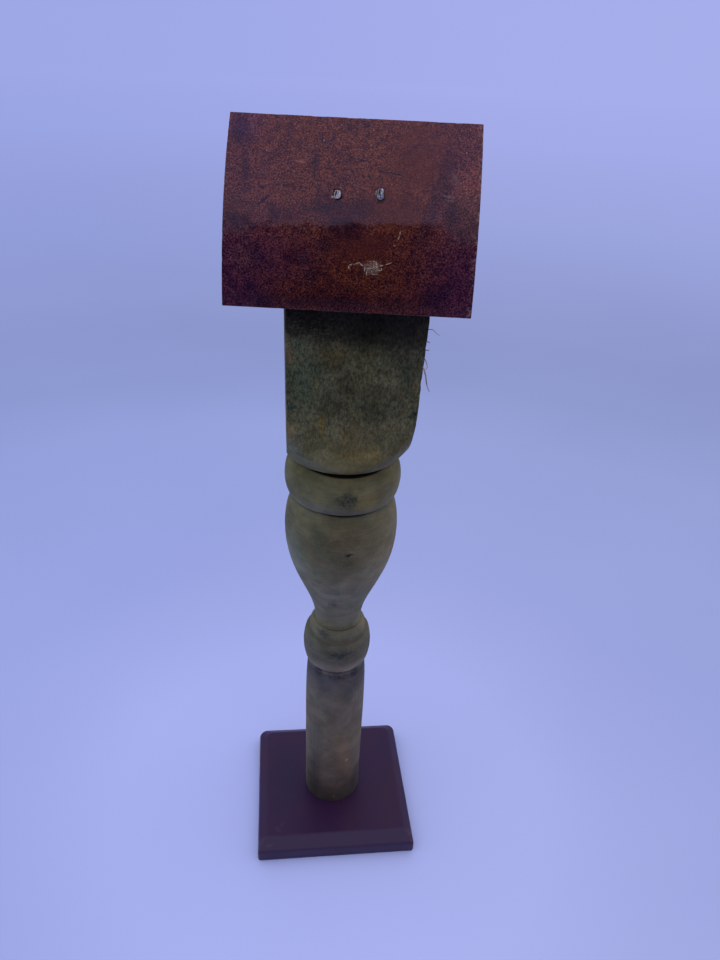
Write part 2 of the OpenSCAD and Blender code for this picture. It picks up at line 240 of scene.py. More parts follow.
class Nodes:
    """A node tree; most methods add a node and return its output socket."""

    def __init__(self, tree):
        self.tree = tree

    def link(self, value, socket):
        """Joins a socket to another, or sets the plain value on it."""
        if isinstance(value, bpy.types.NodeSocket):
            self.tree.links.new(value, socket)
        else:
            socket.default_value = value

    def node(self, kind, feed=(), **settings):
        """Adds a node of the kind; feed is what goes into its sockets, in order or by name or number."""
        made = self.tree.nodes.new(kind)
        for key, value in settings.items():
            setattr(made, key, value)
        for key, value in feed.items() if isinstance(feed, dict) else enumerate(feed):
            self.link(value, made.inputs[key])
        return made

    def part(self, axis, vector):
        return self.node("ShaderNodeSeparateXYZ", [vector]).outputs[axis]

    def length(self, vector):
        return self.node("ShaderNodeVectorMath", [vector], operation="LENGTH").outputs["Value"]

    def vector(self, operation, *values):
        return self.node("ShaderNodeVectorMath", values, operation=operation).outputs["Vector"]

    def math(self, operation, *values):
        return self.node("ShaderNodeMath", values, operation=operation).outputs[0]

    def times(self, one, other):
        return self.math("MULTIPLY", one, other)

    def either(self, share, this, other):
        """this where the share is 1, other where it is 0."""
        return self.math("ADD", self.times(this, share), self.times(other, self.math("SUBTRACT", 1.0, share)))

    def span(self, value, low, high, to_low=0.0, to_high=1.0):
        """Maps low..high to to_low..to_high with soft ends, held outside."""
        return self.node("ShaderNodeMapRange", [value, low, high, to_low, to_high], clamp=True,
                         interpolation_type="SMOOTHSTEP").outputs["Result"]

    def mix(self, factor, a, b, blend="MIX"):
        """Colour a where the factor is 0, b where it is 1."""
        a, b = ((*value, 1) if isinstance(value, tuple) else value for value in (a, b))
        return self.node("ShaderNodeMix", {0: factor, 6: a, 7: b}, data_type="RGBA", blend_type=blend,
                         clamp_factor=True).outputs[2]

    def product(self, one, other):
        return self.mix(1.0, one, other, "MULTIPLY")

    def tint(self, colour, mask, factors):
        """The colour, multiplied by the factors where the mask is 1."""
        return self.mix(mask, colour, self.product(colour, factors))

    def shade(self, kind, colour):
        return self.node(kind, {"Color": colour}).outputs[0]

    def blend(self, factor, a, b):
        """Shader a where the factor is 0, b where it is 1."""
        return self.node("ShaderNodeMixShader", [factor, a, b]).outputs[0]


class Shader(Nodes):
    """One material, drawn in millimetres; the materials' functions below call it s."""

    def __init__(self, name):
        self.material = bpy.data.materials.new(name)
        self.material.use_nodes = True
        super().__init__(self.material.node_tree)
        self.principled = self.tree.nodes["Principled BSDF"]
        self.metres = self.node("ShaderNodeTexCoord").outputs["Object"]
        self.place = self.stretch((1000, 1000, 1000), self.metres)

    def part(self, axis, vector=None):
        return super().part(axis, vector or self.place)

    def stretch(self, factors, source=None):
        return self.vector("MULTIPLY", source or self.place, factors)

    def mapped(self, location, rotation, scale, source=None):
        """Coordinates seen from a place, turned and scaled to it."""
        return self.node("ShaderNodeMapping", [source or self.place, location, rotation, scale],
                         vector_type="TEXTURE").outputs["Vector"]

    def frame(self, matrix):
        """Millimetres in another frame, such as that of the top."""
        local = self.mapped(matrix.to_translation(), matrix.to_euler(), (1, 1, 1), self.metres)
        return self.stretch((1000, 1000, 1000), local)

    def noise(self, size, detail=2.0, rough=0.5, distort=0.0, source=None, kind="Fac"):
        """Noise from 0 to 1 whose features are about size millimetres across."""
        feed = {"Vector": source or self.place, "Scale": 1 / size, "Detail": detail, "Roughness": rough,
                "Distortion": distort}
        return self.node("ShaderNodeTexNoise", feed, noise_dimensions="3D").outputs[kind]

    def warp(self, amount, size, source=None):
        """Coordinates shaken by noise, which make the shapes drawn with them ragged."""
        colour = self.noise(size, 3.0, 0.6, 0.0, source, "Color")
        shift = self.vector("MULTIPLY_ADD", colour, (2 * amount,) * 3, (-amount,) * 3)
        return self.vector("ADD", source or self.place, shift)

    def ramp(self, value, *stops):
        """Colour by value; stops are (position, colour)."""
        made = self.node("ShaderNodeValToRGB", [value])
        elements = made.color_ramp.elements
        while len(elements) < len(stops):
            elements.new(0.5)
        for element, (position, colour) in zip(elements, stops):
            element.position = position
            element.color = (*colour, 1)
        return made.outputs["Color"]

    def spot(self, centre, radii, source=None, inner=0.3, peak=1.0, turn=0.0):
        """Mask that is peak inside an ellipsoid and falls to 0 at its edge, from the inner share on."""
        return self.span(self.length(self.mapped(centre, (0, 0, turn), radii, source)), inner, 1.0, peak, 0.0)

    def oval(self, place, source, inner=0.3, peak=1.0, turn=0.0):
        """The same for an ellipse in X and Y; place is its centre and its two radii."""
        x, y, across, up = place
        return self.spot((x, y, 0), (across, up, EVERYWHERE), source, inner, peak, turn)

    def stroke(self, start, end, width, source, peak=1.0):
        """Mask of a short line drawn in the X and Y of the source."""
        along, across = end[0] - start[0], end[1] - start[1]
        half = math.hypot(along, across) / 2 + width / 2
        place = ((start[0] + end[0]) / 2, (start[1] + end[1]) / 2, half, width / 2)
        return self.oval(place, source, 0.55, peak, math.atan2(across, along))

    def any_of(self, masks):
        total = masks[0]
        for mask in masks[1:]:
            total = self.math("MAXIMUM", total, mask)
        return total

    def bump(self, height, distance, strength):
        feed = {"Strength": strength, "Distance": distance, "Height": height}
        return self.node("ShaderNodeBump", feed).outputs["Normal"]

    def finish(self, colour, roughness, normal=None, **numbers):
        """Hands the material out with these values and numbers on its one shader."""
        feed = {"Base Color": colour, "Roughness": roughness, "Normal": normal, **numbers}
        for key, value in feed.items():
            if value is not None:
                self.link(value, self.principled.inputs[key.replace("_", " ")])
        return self.material


def srgb(*levels):
    """Linear colour of an 8-bit screen colour."""
    shares = [level / 255 for level in levels]
    return tuple(share / 12.92 if share <= 0.04045 else ((share + 0.055) / 1.055) ** 2.4 for share in shares)


def dress(thing, material):
    thing.data.materials.clear()
    thing.data.materials.append(material)


# ---- camera, floor and light

CAMERA_AT = Vector((-17.7, -180.9, 225.6)) * MM
CAMERA_AIM = Vector((0.1087, 0.8712, -0.4787))
CAMERA_UP = Vector((0.0111, 0.4804, 0.8770))
CAMERA_LENS, CAMERA_SENSOR = 28.125, 36  # in mm; the sensor's size is along the picture's longer side


def make_camera():
    data = bpy.data.cameras.new("camera")
    data.lens = CAMERA_LENS
    data.sensor_width = CAMERA_SENSOR
    data.clip_start = 0.005
    data.clip_end = 20
    camera = bpy.data.objects.new("camera", data)
    back = -CAMERA_AIM.normalized()
    right = CAMERA_UP.cross(back).normalized()
    turn = Matrix((right, back.cross(right), back)).transposed()
    camera.matrix_world = Matrix.Translation(CAMERA_AT) @ turn.to_4x4()
    bpy.context.scene.collection.objects.link(camera)
    bpy.context.scene.camera = camera


# 8-bit screen colours of the sweep of paper, by distance from the object in metres; their changes are painted
# light and shade across the paper
FLOOR_TONES = [
    (0.0, (164, 173, 233)), (0.075, (161, 170, 230)), (0.11, (153, 162, 220)), (0.15, (147, 157, 215)),
    (0.23, (143, 154, 210)), (0.32, (144, 155, 210)), (0.42, (139, 150, 204)), (0.52, (141, 152, 206)),
    (0.7, (146, 156, 212)), (1.0, (148, 159, 217)), (1.6, (152, 162, 221)), (3.0, (157, 167, 229)),
    (12.0, (161, 170, 232))]
FLOOR_REACH = 60.0  # metres to each side
FLOOR_LIGHT = 0.80  # how bright the lit floor comes out for a colour of 1
BACKDROP = srgb(161, 170, 232)
# what those colours are multiplied by at the sweep's left and right, at its right near by, and in front:
# painted light and shade across the paper
SWEEP_LEFT, SWEEP_RIGHT = (0.955, 0.97, 0.985), (1.08, 1.06, 1.03)
SWEEP_NEAR, SWEEP_FRONT = (0.985, 0.975, 0.95), (1.18, 1.14, 1.10)
CLOUD_DARK, CLOUD_LIGHT = (0.97, 0.97, 0.98), (1.03, 1.03, 1.02)
FLOOR_IN_SHADE = (0.02, 0.02, 0.03)  # what the varnish mirrors of the paper in front


def floor_tone(s, away):
    """Colour of the paper by its distance from the object, with painted light and shade across it."""
    last = FLOOR_TONES[-1][0]
    # by the root of the distance, which gives the near tones more of the ramp
    tone = s.ramp(s.math("SQRT", s.math("DIVIDE", away, last)),
                  *[(math.sqrt(distance / last), srgb(*levels)) for distance, levels in FLOOR_TONES])
    aside = s.math("DIVIDE", s.part("X", s.metres), s.math("ADD", away, 0.2))
    right = s.mix(s.span(away, 0.45, 1.3), SWEEP_NEAR, SWEEP_RIGHT)
    tone = s.product(tone, s.mix(s.span(aside, -0.36, 0.36), SWEEP_LEFT, right))
    tone = s.tint(tone, s.span(s.part("Y", s.metres), -0.13, -0.04, 1.0, 0.0), SWEEP_FRONT)
    cloud = s.ramp(s.noise(170), (0.3, CLOUD_DARK), (0.7, CLOUD_LIGHT))
    return s.product(tone, s.mix(s.span(away, 0.3, 1.2), cloud, (1.0, 1.0, 1.0)))


def make_floor():
    """A lit sheet of paper under the object, which glows evenly further off."""
    corners = [(x * FLOOR_REACH, y * FLOOR_REACH, 0) for x, y in ((-1, -1), (1, -1), (1, 1), (-1, 1))]
    floor = new_object("floor", corners, [(0, 1, 2, 3)])
    s = Shader("floor_paper")
    away = s.length(s.metres)
    tone = floor_tone(s, away)
    # whoever stands in front darkens what the varnish mirrors of the paper there
    mirrored = s.node("ShaderNodeLightPath").outputs["Is Glossy Ray"]
    in_front = s.span(s.part("Y", s.metres), -0.40, -0.16, 0.9, 0.0)
    tone = s.mix(s.times(mirrored, in_front), tone, FLOOR_IN_SHADE)
    paper = s.shade("ShaderNodeBsdfDiffuse", s.product(tone, (1 / FLOOR_LIGHT,) * 3))
    glow = s.shade("ShaderNodeEmission", tone)
    s.link(s.blend(s.span(away, 0.22, 0.6), paper, glow), s.tree.nodes["Material Output"].inputs["Surface"])
    s.tree.nodes.remove(s.principled)
    dress(floor, s.material)


# the room's dim side, where someone stands: how high it reaches, how that slopes, and how soft its edge is
DIM_EDGE, DIM_SLOPE, DIM_SOFT = 0.600, 0.24, 0.004
LIGHT, LIGHT_DIM = (1.0, 1.0, 1.0), (0.45, 0.45, 0.45)
MIRRORED, MIRRORED_DIM = (0.42, 0.39, 0.70), (0.03, 0.03, 0.05)  # what shiny things reflect


def make_world():
    """Soft light from all round and above, with the dim patch that someone standing in front makes."""
    world = bpy.data.worlds.new("world")
    bpy.context.scene.world = world
    world.use_nodes = True
    world.node_tree.nodes.clear()
    s = Nodes(world.node_tree)
    toward = s.node("ShaderNodeTexCoord").outputs["Generated"]
    # the edge of the dim patch slopes, so that its mirrored line runs level across the top
    level = s.math("MULTIPLY_ADD", s.part("X", toward), -DIM_SLOPE, s.part("Z", toward))
    dim = s.times(s.span(level, DIM_EDGE - DIM_SOFT, DIM_EDGE + DIM_SOFT, 1.0, 0.0),
                  s.span(s.part("Y", toward), -0.55, -0.15, 1.0, 0.0))
    lit = s.shade("ShaderNodeBackground", s.mix(dim, LIGHT, LIGHT_DIM))
    mirrored = s.shade("ShaderNodeBackground", s.mix(dim, MIRRORED, MIRRORED_DIM))
    left, right = (tuple(a * b for a, b in zip(side, BACKDROP)) for side in (SWEEP_LEFT, SWEEP_RIGHT))
    seen = s.shade("ShaderNodeBackground", s.mix(s.span(s.part("X", toward), -0.35, 0.45), left, right))
    ray = s.node("ShaderNodeLightPath").outputs
    sharp = s.math("MAXIMUM", ray["Is Glossy Ray"], ray["Is Transmission Ray"])
    s.node("ShaderNodeOutputWorld", [s.blend(ray["Is Camera Ray"], s.blend(sharp, lit, mirrored), seen)])


# ---- the post's material

# height in mm and 8-bit screen colour of the bare, stained wood there; the dark tones from about 170 mm up
# are painted shade under the top, those at the foot are painted shade near the plate, and those just under
# the ring are painted shade beneath it
POST_TONES_AND_SHADE = [
    (6, (50, 42, 44)), (11, (64, 54, 53)), (20, (86, 75, 68)), (36, (97, 88, 78)),
    (52, (93, 86, 79)), (58, (79, 75, 77)), (62.5, (68, 65, 70)), (64.2, (118, 108, 97)),
    (66.6, (110, 103, 93)), (69, (80, 77, 70)), (72, (80, 78, 71)), (76, (98, 95, 84)),
    (80, (102, 99, 85)), (92, (108, 105, 91)), (103, (106, 100, 83)), (110, (100, 93, 74)),
    (121, (95, 90, 70)), (123.5, (99, 97, 86)), (127, (96, 92, 70)), (134, (95, 90, 66)),
    (138, (98, 92, 68)), (146, (94, 88, 62)), (152, (78, 75, 55)), (160, (74, 73, 54)),
    (168, (76, 74, 56)), (170, (66, 64, 50)), (171.4, (42, 40, 32)), (174.5, (30, 28, 23)),
    (182, (24, 22, 19))]
# marks on the wood: centre and radii in mm, what the colour is multiplied by, and how broken up they are
BEAD_STAINS = [
    ((0.1, -15.5, 128.7), (4.3, 6, 3.2), (0.24, 0.31, 0.44), 0.5),  # the dark blotch in front
    ((5.0, -14, 127), (7, 9, 4.5), (1.1, 1.0, 0.74), 0),
    ((0, -15.4, 136.2), (10, 3, 1.5), (0.7, 0.6, 0.4), 0)]
VASE_STAINS = [
    ((0, -13, 115.6), (9, 6, 3.0), (0.74, 0.70, 0.66), 0.6),
    ((0.9, -14.6, 111.8), (1.7, 4, 0.95), (0.08, 0.12, 0.22), 0),  # a small black knot
    ((0.6, -13, 109.0), (3.0, 5, 2.0), (0.48, 0.56, 0.68), 0.9),
    ((-2.3, -7.6, 91.0), (2.2, 4, 3.4), (0.42, 0.5, 0.62), 0.8),
    ((-1.2, -9.4, 96.6), (0.5, 4, 2.2), (0.3, 0.4, 0.52), 0),
    # darker in front: painted shade
    ((-1, -15, 118), (9.5, 7, 16), (0.80, 0.78, 0.76), 0.1),
    ((13.5, -6, 118), (9, 13, 24), (1.4, 1.36, 1.38), 0.1),  # paler round both sides: painted rim light
    ((-13, -6, 108), (6, 10, 11), (1.0, 1.2, 1.45), 0.1),
    ((0, -9, 92), (6, 5, 5), (0.80, 0.78, 0.76), 0.2)]
RING_STAINS = [
    ((-4.5, -7.0, 77.7), (2.6, 4, 1.7), (0.42, 0.5, 0.62), 0.5),
    ((0.6, -9.5, 71.9), (6.0, 4, 2.7), (0.40, 0.48, 0.60), 0.7),
    ((1.9, -9, 66.0), (6, 4, 1.6), (1.12, 1.03, 0.98), 0),
    ((-2, -9, 74), (7, 5, 5.5), (0.86, 0.85, 0.83), 0.2)]
COLUMN_STAINS = [
    ((-6.2, -7, 63.0), (2.7, 4, 2.4), (0.32, 0.34, 0.55), 0.5),  # painted shade under the ring, with dark blotches
    ((5.3, -7.2, 62.8), (2.1, 3, 2.8), (0.40, 0.41, 0.6), 0.5),
    ((-0.4, -8.8, 62.4), (5, 3, 2.6), (0.50, 0.50, 0.66), 0.8),
    ((2.9, -8.4, 27), (3.4, 6, 15), (1.22, 1.06, 0.96), 0),
    ((-6.5, -6.5, 32), (4, 6, 18), (0.74, 0.78, 0.88), 0),
    ((-6.8, -6, 15), (4, 7, 15), (0.55, 0.56, 0.64), 0),  # darker round its foot: painted shade near the plate
    ((8.0, -5, 13), (4, 8, 10), (0.66, 0.62, 0.68), 0),
    ((3.9, -8.0, 25.0), (0.5, 2, 0.8), (2.4, 2.3, 2.0), 0),  # two pale specks
    ((-0.1, -9.0, 8.3), (0.7, 2, 0.7), (2.6, 2.2, 1.2), 0)]
BLOCK_STAINS = [
    ((-11.5, -16, 162), (4.4, 3, 8), (0.74, 0.94, 1.0), 0.6),  # blue-green at the left
    ((-14.4, -16, 154.7), (1.2, 2, 1.8), (0.35, 0.5, 0.72), 0.5),
    ((15.0, -16, 152.6), (1.2, 2, 1.7), (0.28, 0.42, 0.58), 0.4),  # and in spots at the right
    ((12.3, -16, 163.6), (1.3, 3, 3.8), (0.5, 0.72, 0.84), 0.7),
    ((-5.2, -16, 168.2), (4.4, 3, 5.0), (1.35, 1.10, 0.78), 0.2),  # orange, where the stain is thin
    ((-7.0, -16, 150.2), (1.1, 2, 4.4), (1.6, 1.16, 0.6), 0.3),
    ((3, -16, 141), (11, 4, 4.5), (1.1, 1.04, 0.82), 0),
    ((-14.9, -16, 168.5), (1.2, 3, 4.5), (1.6, 1.12, 1.0), 0.2),  # rubbed along both arrises
    ((-14.5, -16, 148), (1.0, 3, 3.2), (1.5, 1.12, 1.05), 0.2),
    ((15.6, -16, 160), (1.2, 3, 3.0), (1.55, 1.25, 1.1), 0.3),
    ((4.0, -16, 153.5), (4.5, 3, 4), (0.84, 0.84, 0.8), 0.6),
    ((10.5, -16, 160.5), (4.5, 3, 6.5), (1.3, 1.28, 1.25), 0.4),
    # painted shade under the top, at the lower end of its band
    ((4, -16, 169.2), (10, 3, 3.6), (0.66, 0.63, 0.50), 0.4),
    ((2, -16, 164), (10, 3, 9), (0.97, 0.96, 0.84), 0),
    ((16.0, -16, 174), (2.6, 3, 5.5), (1.7, 1.7, 1.6), 0.3),
    ((-14.6, -12, 142), (2.4, 7, 6.5), (0.85, 1.05, 1.1), 0.2),  # the turned shoulder's ends, with painted side light and a painted reflection of the lavender paper
    ((15.2, -12, 142), (2.0, 7, 6), (1.2, 1.35, 1.5), 0.2),
    ((0.2, -16, 158.6), (3.4, 3, 3.2), (0.66, 0.68, 0.72), 0.4),
    ((8.9, -15.5, 141), (4.5, 4, 4.5), (0.72, 0.74, 0.84), 0.4),
    ((-13.5, -16, 145.5), (3, 3, 4.5), (0.98, 1.02, 1.4), 0.2),
    # painted shade under the top
    ((-10, -16, 176), (9, 3, 7), (0.78, 0.76, 0.74), 0),
    ((2.0, -16, 172.2), (5.5, 3, 2.8), (0.78, 0.76, 0.68), 0.3),
    ((8.6, -16, 145.6), (3.2, 3, 3.2), (0.80, 0.80, 0.82), 0.3)]
POST_STAINS = BEAD_STAINS + VASE_STAINS + RING_STAINS + COLUMN_STAINS + BLOCK_STAINS
# painted shade in the grooves and under the block's edge: lowest and highest point in mm, and how much light
# is left
GROOVE_SHADE = [(134.3, 136.15, 0.03), (122.35, 123.45, 0.22), (78.9, 79.35, 0.6), (74.9, 75.5, 0.75),
                (63.2, 64.0, 0.5)]
SMALL_STAIN = 0.9  # marks with a radius under this in mm have steadier edges


def post_grain(s, up, on_block, height):
    """How light the grain is: furry and open on the block, worn smooth on the turned length."""
    fibre = s.noise(0.62, 4.0, 0.72, 0.5, source=s.stretch((1, 1, 0.6)))
    pores = s.noise(0.28, 2.0, 0.6, 0.3, source=s.stretch((1, 1, 0.35)))
    soft = s.noise(3.6, 4.0, 0.6, 0.5, source=s.stretch((0.8, 0.8, 1.1)))
    turned = s.noise(0.55, 3.0, 0.65, 0.2, source=s.stretch((0.12, 0.12, 1.2)))
    rough_part = s.times(s.span(fibre, 0.28, 0.72, 0.40, 1.64), s.span(pores, 0.3, 0.7, 0.78, 1.22))
    smooth_part = s.span(fibre, 0.28, 0.72, 0.72, 1.28)
    furry = s.either(s.span(height, 138.0, 155.0), rough_part, smooth_part)
    furry = s.times(furry, s.span(s.noise(6.5, 3.0, 0.55, 0.4), 0.34, 0.66, 0.74, 1.28))
    worn = s.times(s.span(soft, 0.3, 0.7, 0.88, 1.12), s.span(fibre, 0.3, 0.7, 0.95, 1.05))
    lathe = s.times(s.span(turned, 0.32, 0.68, -0.08, 0.08), s.span(up, 56, 72, 0.4, 1.0))
    worn = s.math("MULTIPLY_ADD", worn, lathe, worn)
    worn = s.times(worn, s.span(s.noise(9, 2.0, 0.5, 0.3), 0.35, 0.65, 0.86, 1.14))
    return s.either(on_block, furry, worn)


def post_stains(s, colour, ragged):
    crumbs = s.span(s.noise(0.9, 4.0, 0.7, 0.4), 0.42, 0.56)
    steady = s.warp(0.25, 0.8)
    for centre, radii, factors, broken in POST_STAINS:
        mark = s.spot(centre, radii, ragged if min(radii) > SMALL_STAIN else steady, 0.25)
        if broken:
            mark = s.times(mark, s.math("MULTIPLY_ADD", crumbs, broken, 1 - broken))
        colour = s.tint(colour, mark, factors)
    return colour


def post_groove_shade(s, colour, up):
    """Painted shade in the grooves, which thins out towards the sides."""
    across = s.times(s.part("X"), s.part("X"))
    level = s.math("MULTIPLY_ADD", across, -0.006, up)
    for bottom, top, left_over in GROOVE_SHADE:
        soft_end = min(0.4, 0.45 * (top - bottom))
        shade_mask = s.times(s.span(level, bottom, bottom + soft_end), s.span(up, top - 0.12, top, 1.0, 0.0))
        colour = s.tint(colour, shade_mask, (left_over, left_over, left_over * 1.2))
    return colour


def post_material():
    s = Shader("weathered_wood")
    up = s.part("Z")
    on_block = s.span(up, 137.0, 142.0)
    ragged = s.warp(1.3, 1.9)
    # on the block the tones, with the painted shade under the top, are ragged, and slope down to the right
    shaken = s.math("MULTIPLY_ADD", s.part("X"), 0.12, s.part("Z", ragged))
    height = s.either(on_block, shaken, up)
    low, high = POST_TONES_AND_SHADE[0][0], POST_TONES_AND_SHADE[-1][0]
    tone = s.ramp(s.math("DIVIDE", s.math("SUBTRACT", height, low), high - low),
                  *[((z - low) / (high - low), srgb(*colour)) for z, colour in POST_TONES_AND_SHADE])
    light = post_grain(s, up, on_block, height)
    colour = s.product(tone, s.node("ShaderNodeCombineXYZ", [light] * 3).outputs[0])
    # green blotches, orange patches, and greener towards the left, a painted tint of the light on the left
    # flank
    colour = s.tint(colour, s.span(s.noise(5.5, 4.0, 0.62, 0.5), 0.5, 0.72, 0.0, 0.6), (0.68, 0.86, 0.92))
    patches = s.noise(2.6, 3.0, 0.6, 0.6, source=s.stretch((1, 1, 0.6)))
    colour = s.tint(colour, s.span(patches, 0.52, 0.72, 0.0, 0.5), (1.35, 1.10, 0.80))
    colour = s.tint(colour, s.span(s.part("X"), -13.0, 2.0, 0.8, 0.0), (0.94, 1.05, 1.06))
    colour = post_stains(s, colour, ragged)
    # the band under the top is wrinkled at its left
    creases = s.span(s.noise(0.42, 3.0, 0.6, 0.5, source=s.stretch((0.35, 0.35, 1))), 0.47, 0.57)
    wrinkled = s.times(creases, s.spot((-9.5, -16, 175.4), (8, 4, 4.8), ragged, 0.5))
    # painted shade in the grooves follows
    colour = post_groove_shade(s, s.tint(colour, wrinkled, (2.3, 2.2, 1.9)), up)
    return s.finish(colour, s.span(light, 0.6, 1.4, 0.9, 0.7), s.bump(light, 0.00015, 0.7),
                    Specular_IOR_Level=0.05, Sheen_Weight=0.08)


def fibre_material():
    s = Shader("raw_fibre")
    tone = s.noise(0.6, 2.0, 0.6, 0.0, source=s.stretch((1, 1, 0.4)))
    colour = s.ramp(tone, (0.3, srgb(104, 92, 92)), (0.7, srgb(176, 158, 150)))
    return s.finish(colour, 0.8, Specular_IOR_Level=0.2)


# ---- the foot plate's paint

PLUM, PLUM_RED = (0.022, 0.0068, 0.045), (0.031, 0.0082, 0.038)
# the front bevel's colour is lighter and bluer than the rest: a painted reflection of the lit paper
PLUM_FRONT_SHEEN, PLUM_BLUE = (0.036, 0.019, 0.062), (0.016, 0.0072, 0.038)
PLUM_RUBBED, PLUM_CHAFED = (0.070, 0.048, 0.110), (0.16, 0.05, 0.075)


def base_material():
    s = Shader("plum_paint")
    cloud = s.noise(14, 3.0, 0.55)
    ragged = s.warp(0.5, 1.6)
    colour = s.ramp(cloud, (0.3, PLUM), (0.7, PLUM_RED))
    # the front bevel, with its painted reflection
    colour = s.mix(s.span(s.part("Y", ragged), -21.4, -20.4, 1.0, 0.0), colour, PLUM_FRONT_SHEEN)
    colour = s.mix(s.spot((-16, 4, 6), (8, 18, 6), ragged, 0.2, 0.7), colour, PLUM_BLUE)
    rubbed = s.any_of([s.spot((-19.0, -18.8, 6), (0.9, 2.3, 3), ragged, 0.1, 0.22, 0.5),
                       s.spot((-17.6, -17.0, 6), (0.7, 1.9, 3), ragged, 0.1, 0.22, -0.6),
                       s.spot((-21.8, -23.5, 5), (1.8, 0.8, 3), ragged, 0.1, 0.4)])
    colour = s.mix(rubbed, colour, PLUM_RUBBED)
    crumbs = s.span(s.noise(0.8, 3.0, 0.7), 0.55, 0.62)
    chafed = s.times(crumbs, s.spot((25.0, -22.0, 4.4), (1.6, 5.5, 2.4), ragged, 0.3, 0.9))
    colour = s.mix(chafed, colour, PLUM_CHAFED)
    return s.finish(colour, s.span(cloud, 0.3, 0.7, 0.36, 0.46), s.bump(s.noise(1.2), 0.00006, 0.35),
                    Specular_IOR_Level=0.32)


# ---- the top's varnish

# X and Y are in mm from the middle of the top, X across and Y towards its upper edge;
# dark, middle and light of the mottling, and the same made darker near the lower edge as painted shade
RUST, BROWN, GOLD = (0.014, 0.0044, 0.013), (0.090, 0.0195, 0.0160), (0.235, 0.074, 0.044)
SHADED_RUST, SHADED_BROWN, SHADED_GOLD = (0.0065, 0.0014, 0.0072), (0.047, 0.0076, 0.0098), (0.155, 0.042, 0.023)
# tints of the varnish: centre and radii, share of the radii at full strength, strength, and factors
DARKER = (0.66, 0.56, 0.76)
TOP_TINTS = [
    ((3.5, -12.5, 10, 6.5), 0.2, 0.7, (1.25, 1.3, 0.75)),  # golden round the worn patch
    ((-23, 17.5, 6, 4.5), 0.2, 0.9, (1.0, 1.05, 1.7)),  # bluer at the left, up and down
    ((-12, -9.5, 9, 8), 0.3, 0.7, (1.0, 1.05, 1.7)),
    ((-22, -10.5, 5, 4), 0.2, 0.9, (1.15, 1.5, 1.1)),
    ((11, 4, 11, 15), 0.3, 0.8, (1.0, 0.94, 0.72)),  # browner right of the middle
    ((-2.5, -16.9, 12.5, 3.0), 0.3, 0.85, DARKER),
    ((-12.5, -10.0, 2.8, 2.8), 0.3, 0.85, DARKER),
    ((-13.0, -1.0, 5.5, 2.4), 0.3, 0.85, DARKER),
    ((25, 7, 4.5, 7), 0.2, 0.6, (1.7, 1.7, 1.25))]  # worn pale towards the right edge
# dark patches in the varnish, and the dark band down its right side
TOP_STREAKS = [
    (-24.5, 17.0, 2.6, 4.5), (-22.6, 8, 1.2, 8), (-16.4, -1, 1.3, 3.5), (-24.0, -3.0, 4, 2.6),
    (-8, -13.5, 3, 3), (-18, -18.5, 7, 2.4), (18.5, -16.5, 5, 3.4), (-8, 10, 1.4, 6),
    (-3, -18.8, 16, 2.0), (-14, 17.5, 1.2, 4), (20.8, 0.5, 2.8, 4.4), (10, -18.0, 6, 2.0),
    (-5, -7, 3.2, 2.2), (-9.5, -10, 3, 2.4), (-20.5, -16, 2.4, 2.2)]
TOP_BAND = [(20.2, 13.0), (19.1, 7.0), (17.3, 2.3), (15.2, -4.0), (14.2, -5.5)]
BAND_WIDTH = 4.4
TOP_SMUDGE = [((-1.0, -3.6, 6.5, 3.6), 0.95), ((-2.0, 0.4, 10.5, 3.0), 0.75)]
# where the varnish is worn smooth, and where it is dulled, with the roughness there
TOP_CALM = [(14, 12, 9, 12), (9, 1, 9, 7), (3, -7, 9.5, 5)]
TOP_DULLED = [((25, -0.5, 9, 9), 0.36), ((-24.5, -2.0, 8, 7), 0.30)]
# lines scored in the varnish, dark with dirt: start, end, width and strength; and grey and pink ones
TOP_SCORES = [
    ((-19.7, 0.2), (-16.5, 3.1), 0.8, 0.9), ((5.2, 8.7), (11.5, 7.8), 0.5, 0.9),
    ((-9.6, 9.6), (-6.5, 10.4), 0.5, 0.7), ((-1.8, 11.9), (0.4, 11.0), 0.6, 0.8),
    ((0.4, 11.2), (2.6, 10.6), 0.4, 0.8), ((14.9, -4.0), (18.9, -3.6), 0.7, 0.6)]
GREY_SCORES = [((18.6, 4.2), (21.8, 3.7), 0.5, 0.55), ((19.6, 3.3), (21.4, 3.0), 0.4, 0.4)]
PINK_SCORES = [((-12.3, 10.1), (-10.0, 9.7), 0.45, 0.8)]
# pale scratches: start, end and width; the worn patch they cross; and specks: X, Y and radius
TOP_SCUFFS = [
    ((0.2, -11.6), (0.1, -10.9), 0.34), ((0.1, -10.9), (1.4, -10.6), 0.26), ((1.4, -10.6), (2.5, -10.3), 0.3),
    ((2.5, -10.4), (3.1, -10.9), 0.34), ((5.0, -9.7), (6.1, -10.3), 0.3), ((5.9, -9.9), (6.1, -11.3), 0.4),
    ((4.3, -10.0), (5.3, -9.7), 0.24), ((3.7, -11.4), (6.1, -11.2), 0.3), ((6.2, -11.6), (7.0, -11.7), 0.26),
    ((7.0, -11.7), (7.1, -11.1), 0.24), ((6.8, -10.7), (7.4, -10.5), 0.34), ((7.7, -10.5), (9.3, -9.9), 0.22),
    ((4.0, -11.9), (4.0, -12.7), 0.3), ((4.8, -12.4), (6.6, -12.5), 0.22), ((3.4, -10.7), (3.5, -12.1), 0.2),
    ((5.4, -10.6), (5.5, -11.5), 0.3), ((10.5, -3.3), (10.5, -4.5), 0.26), ((10.5, -4.5), (10.1, -5.4), 0.2)]
WORN_PATCH = (5.0, -11.2, 2.3, 1.9)
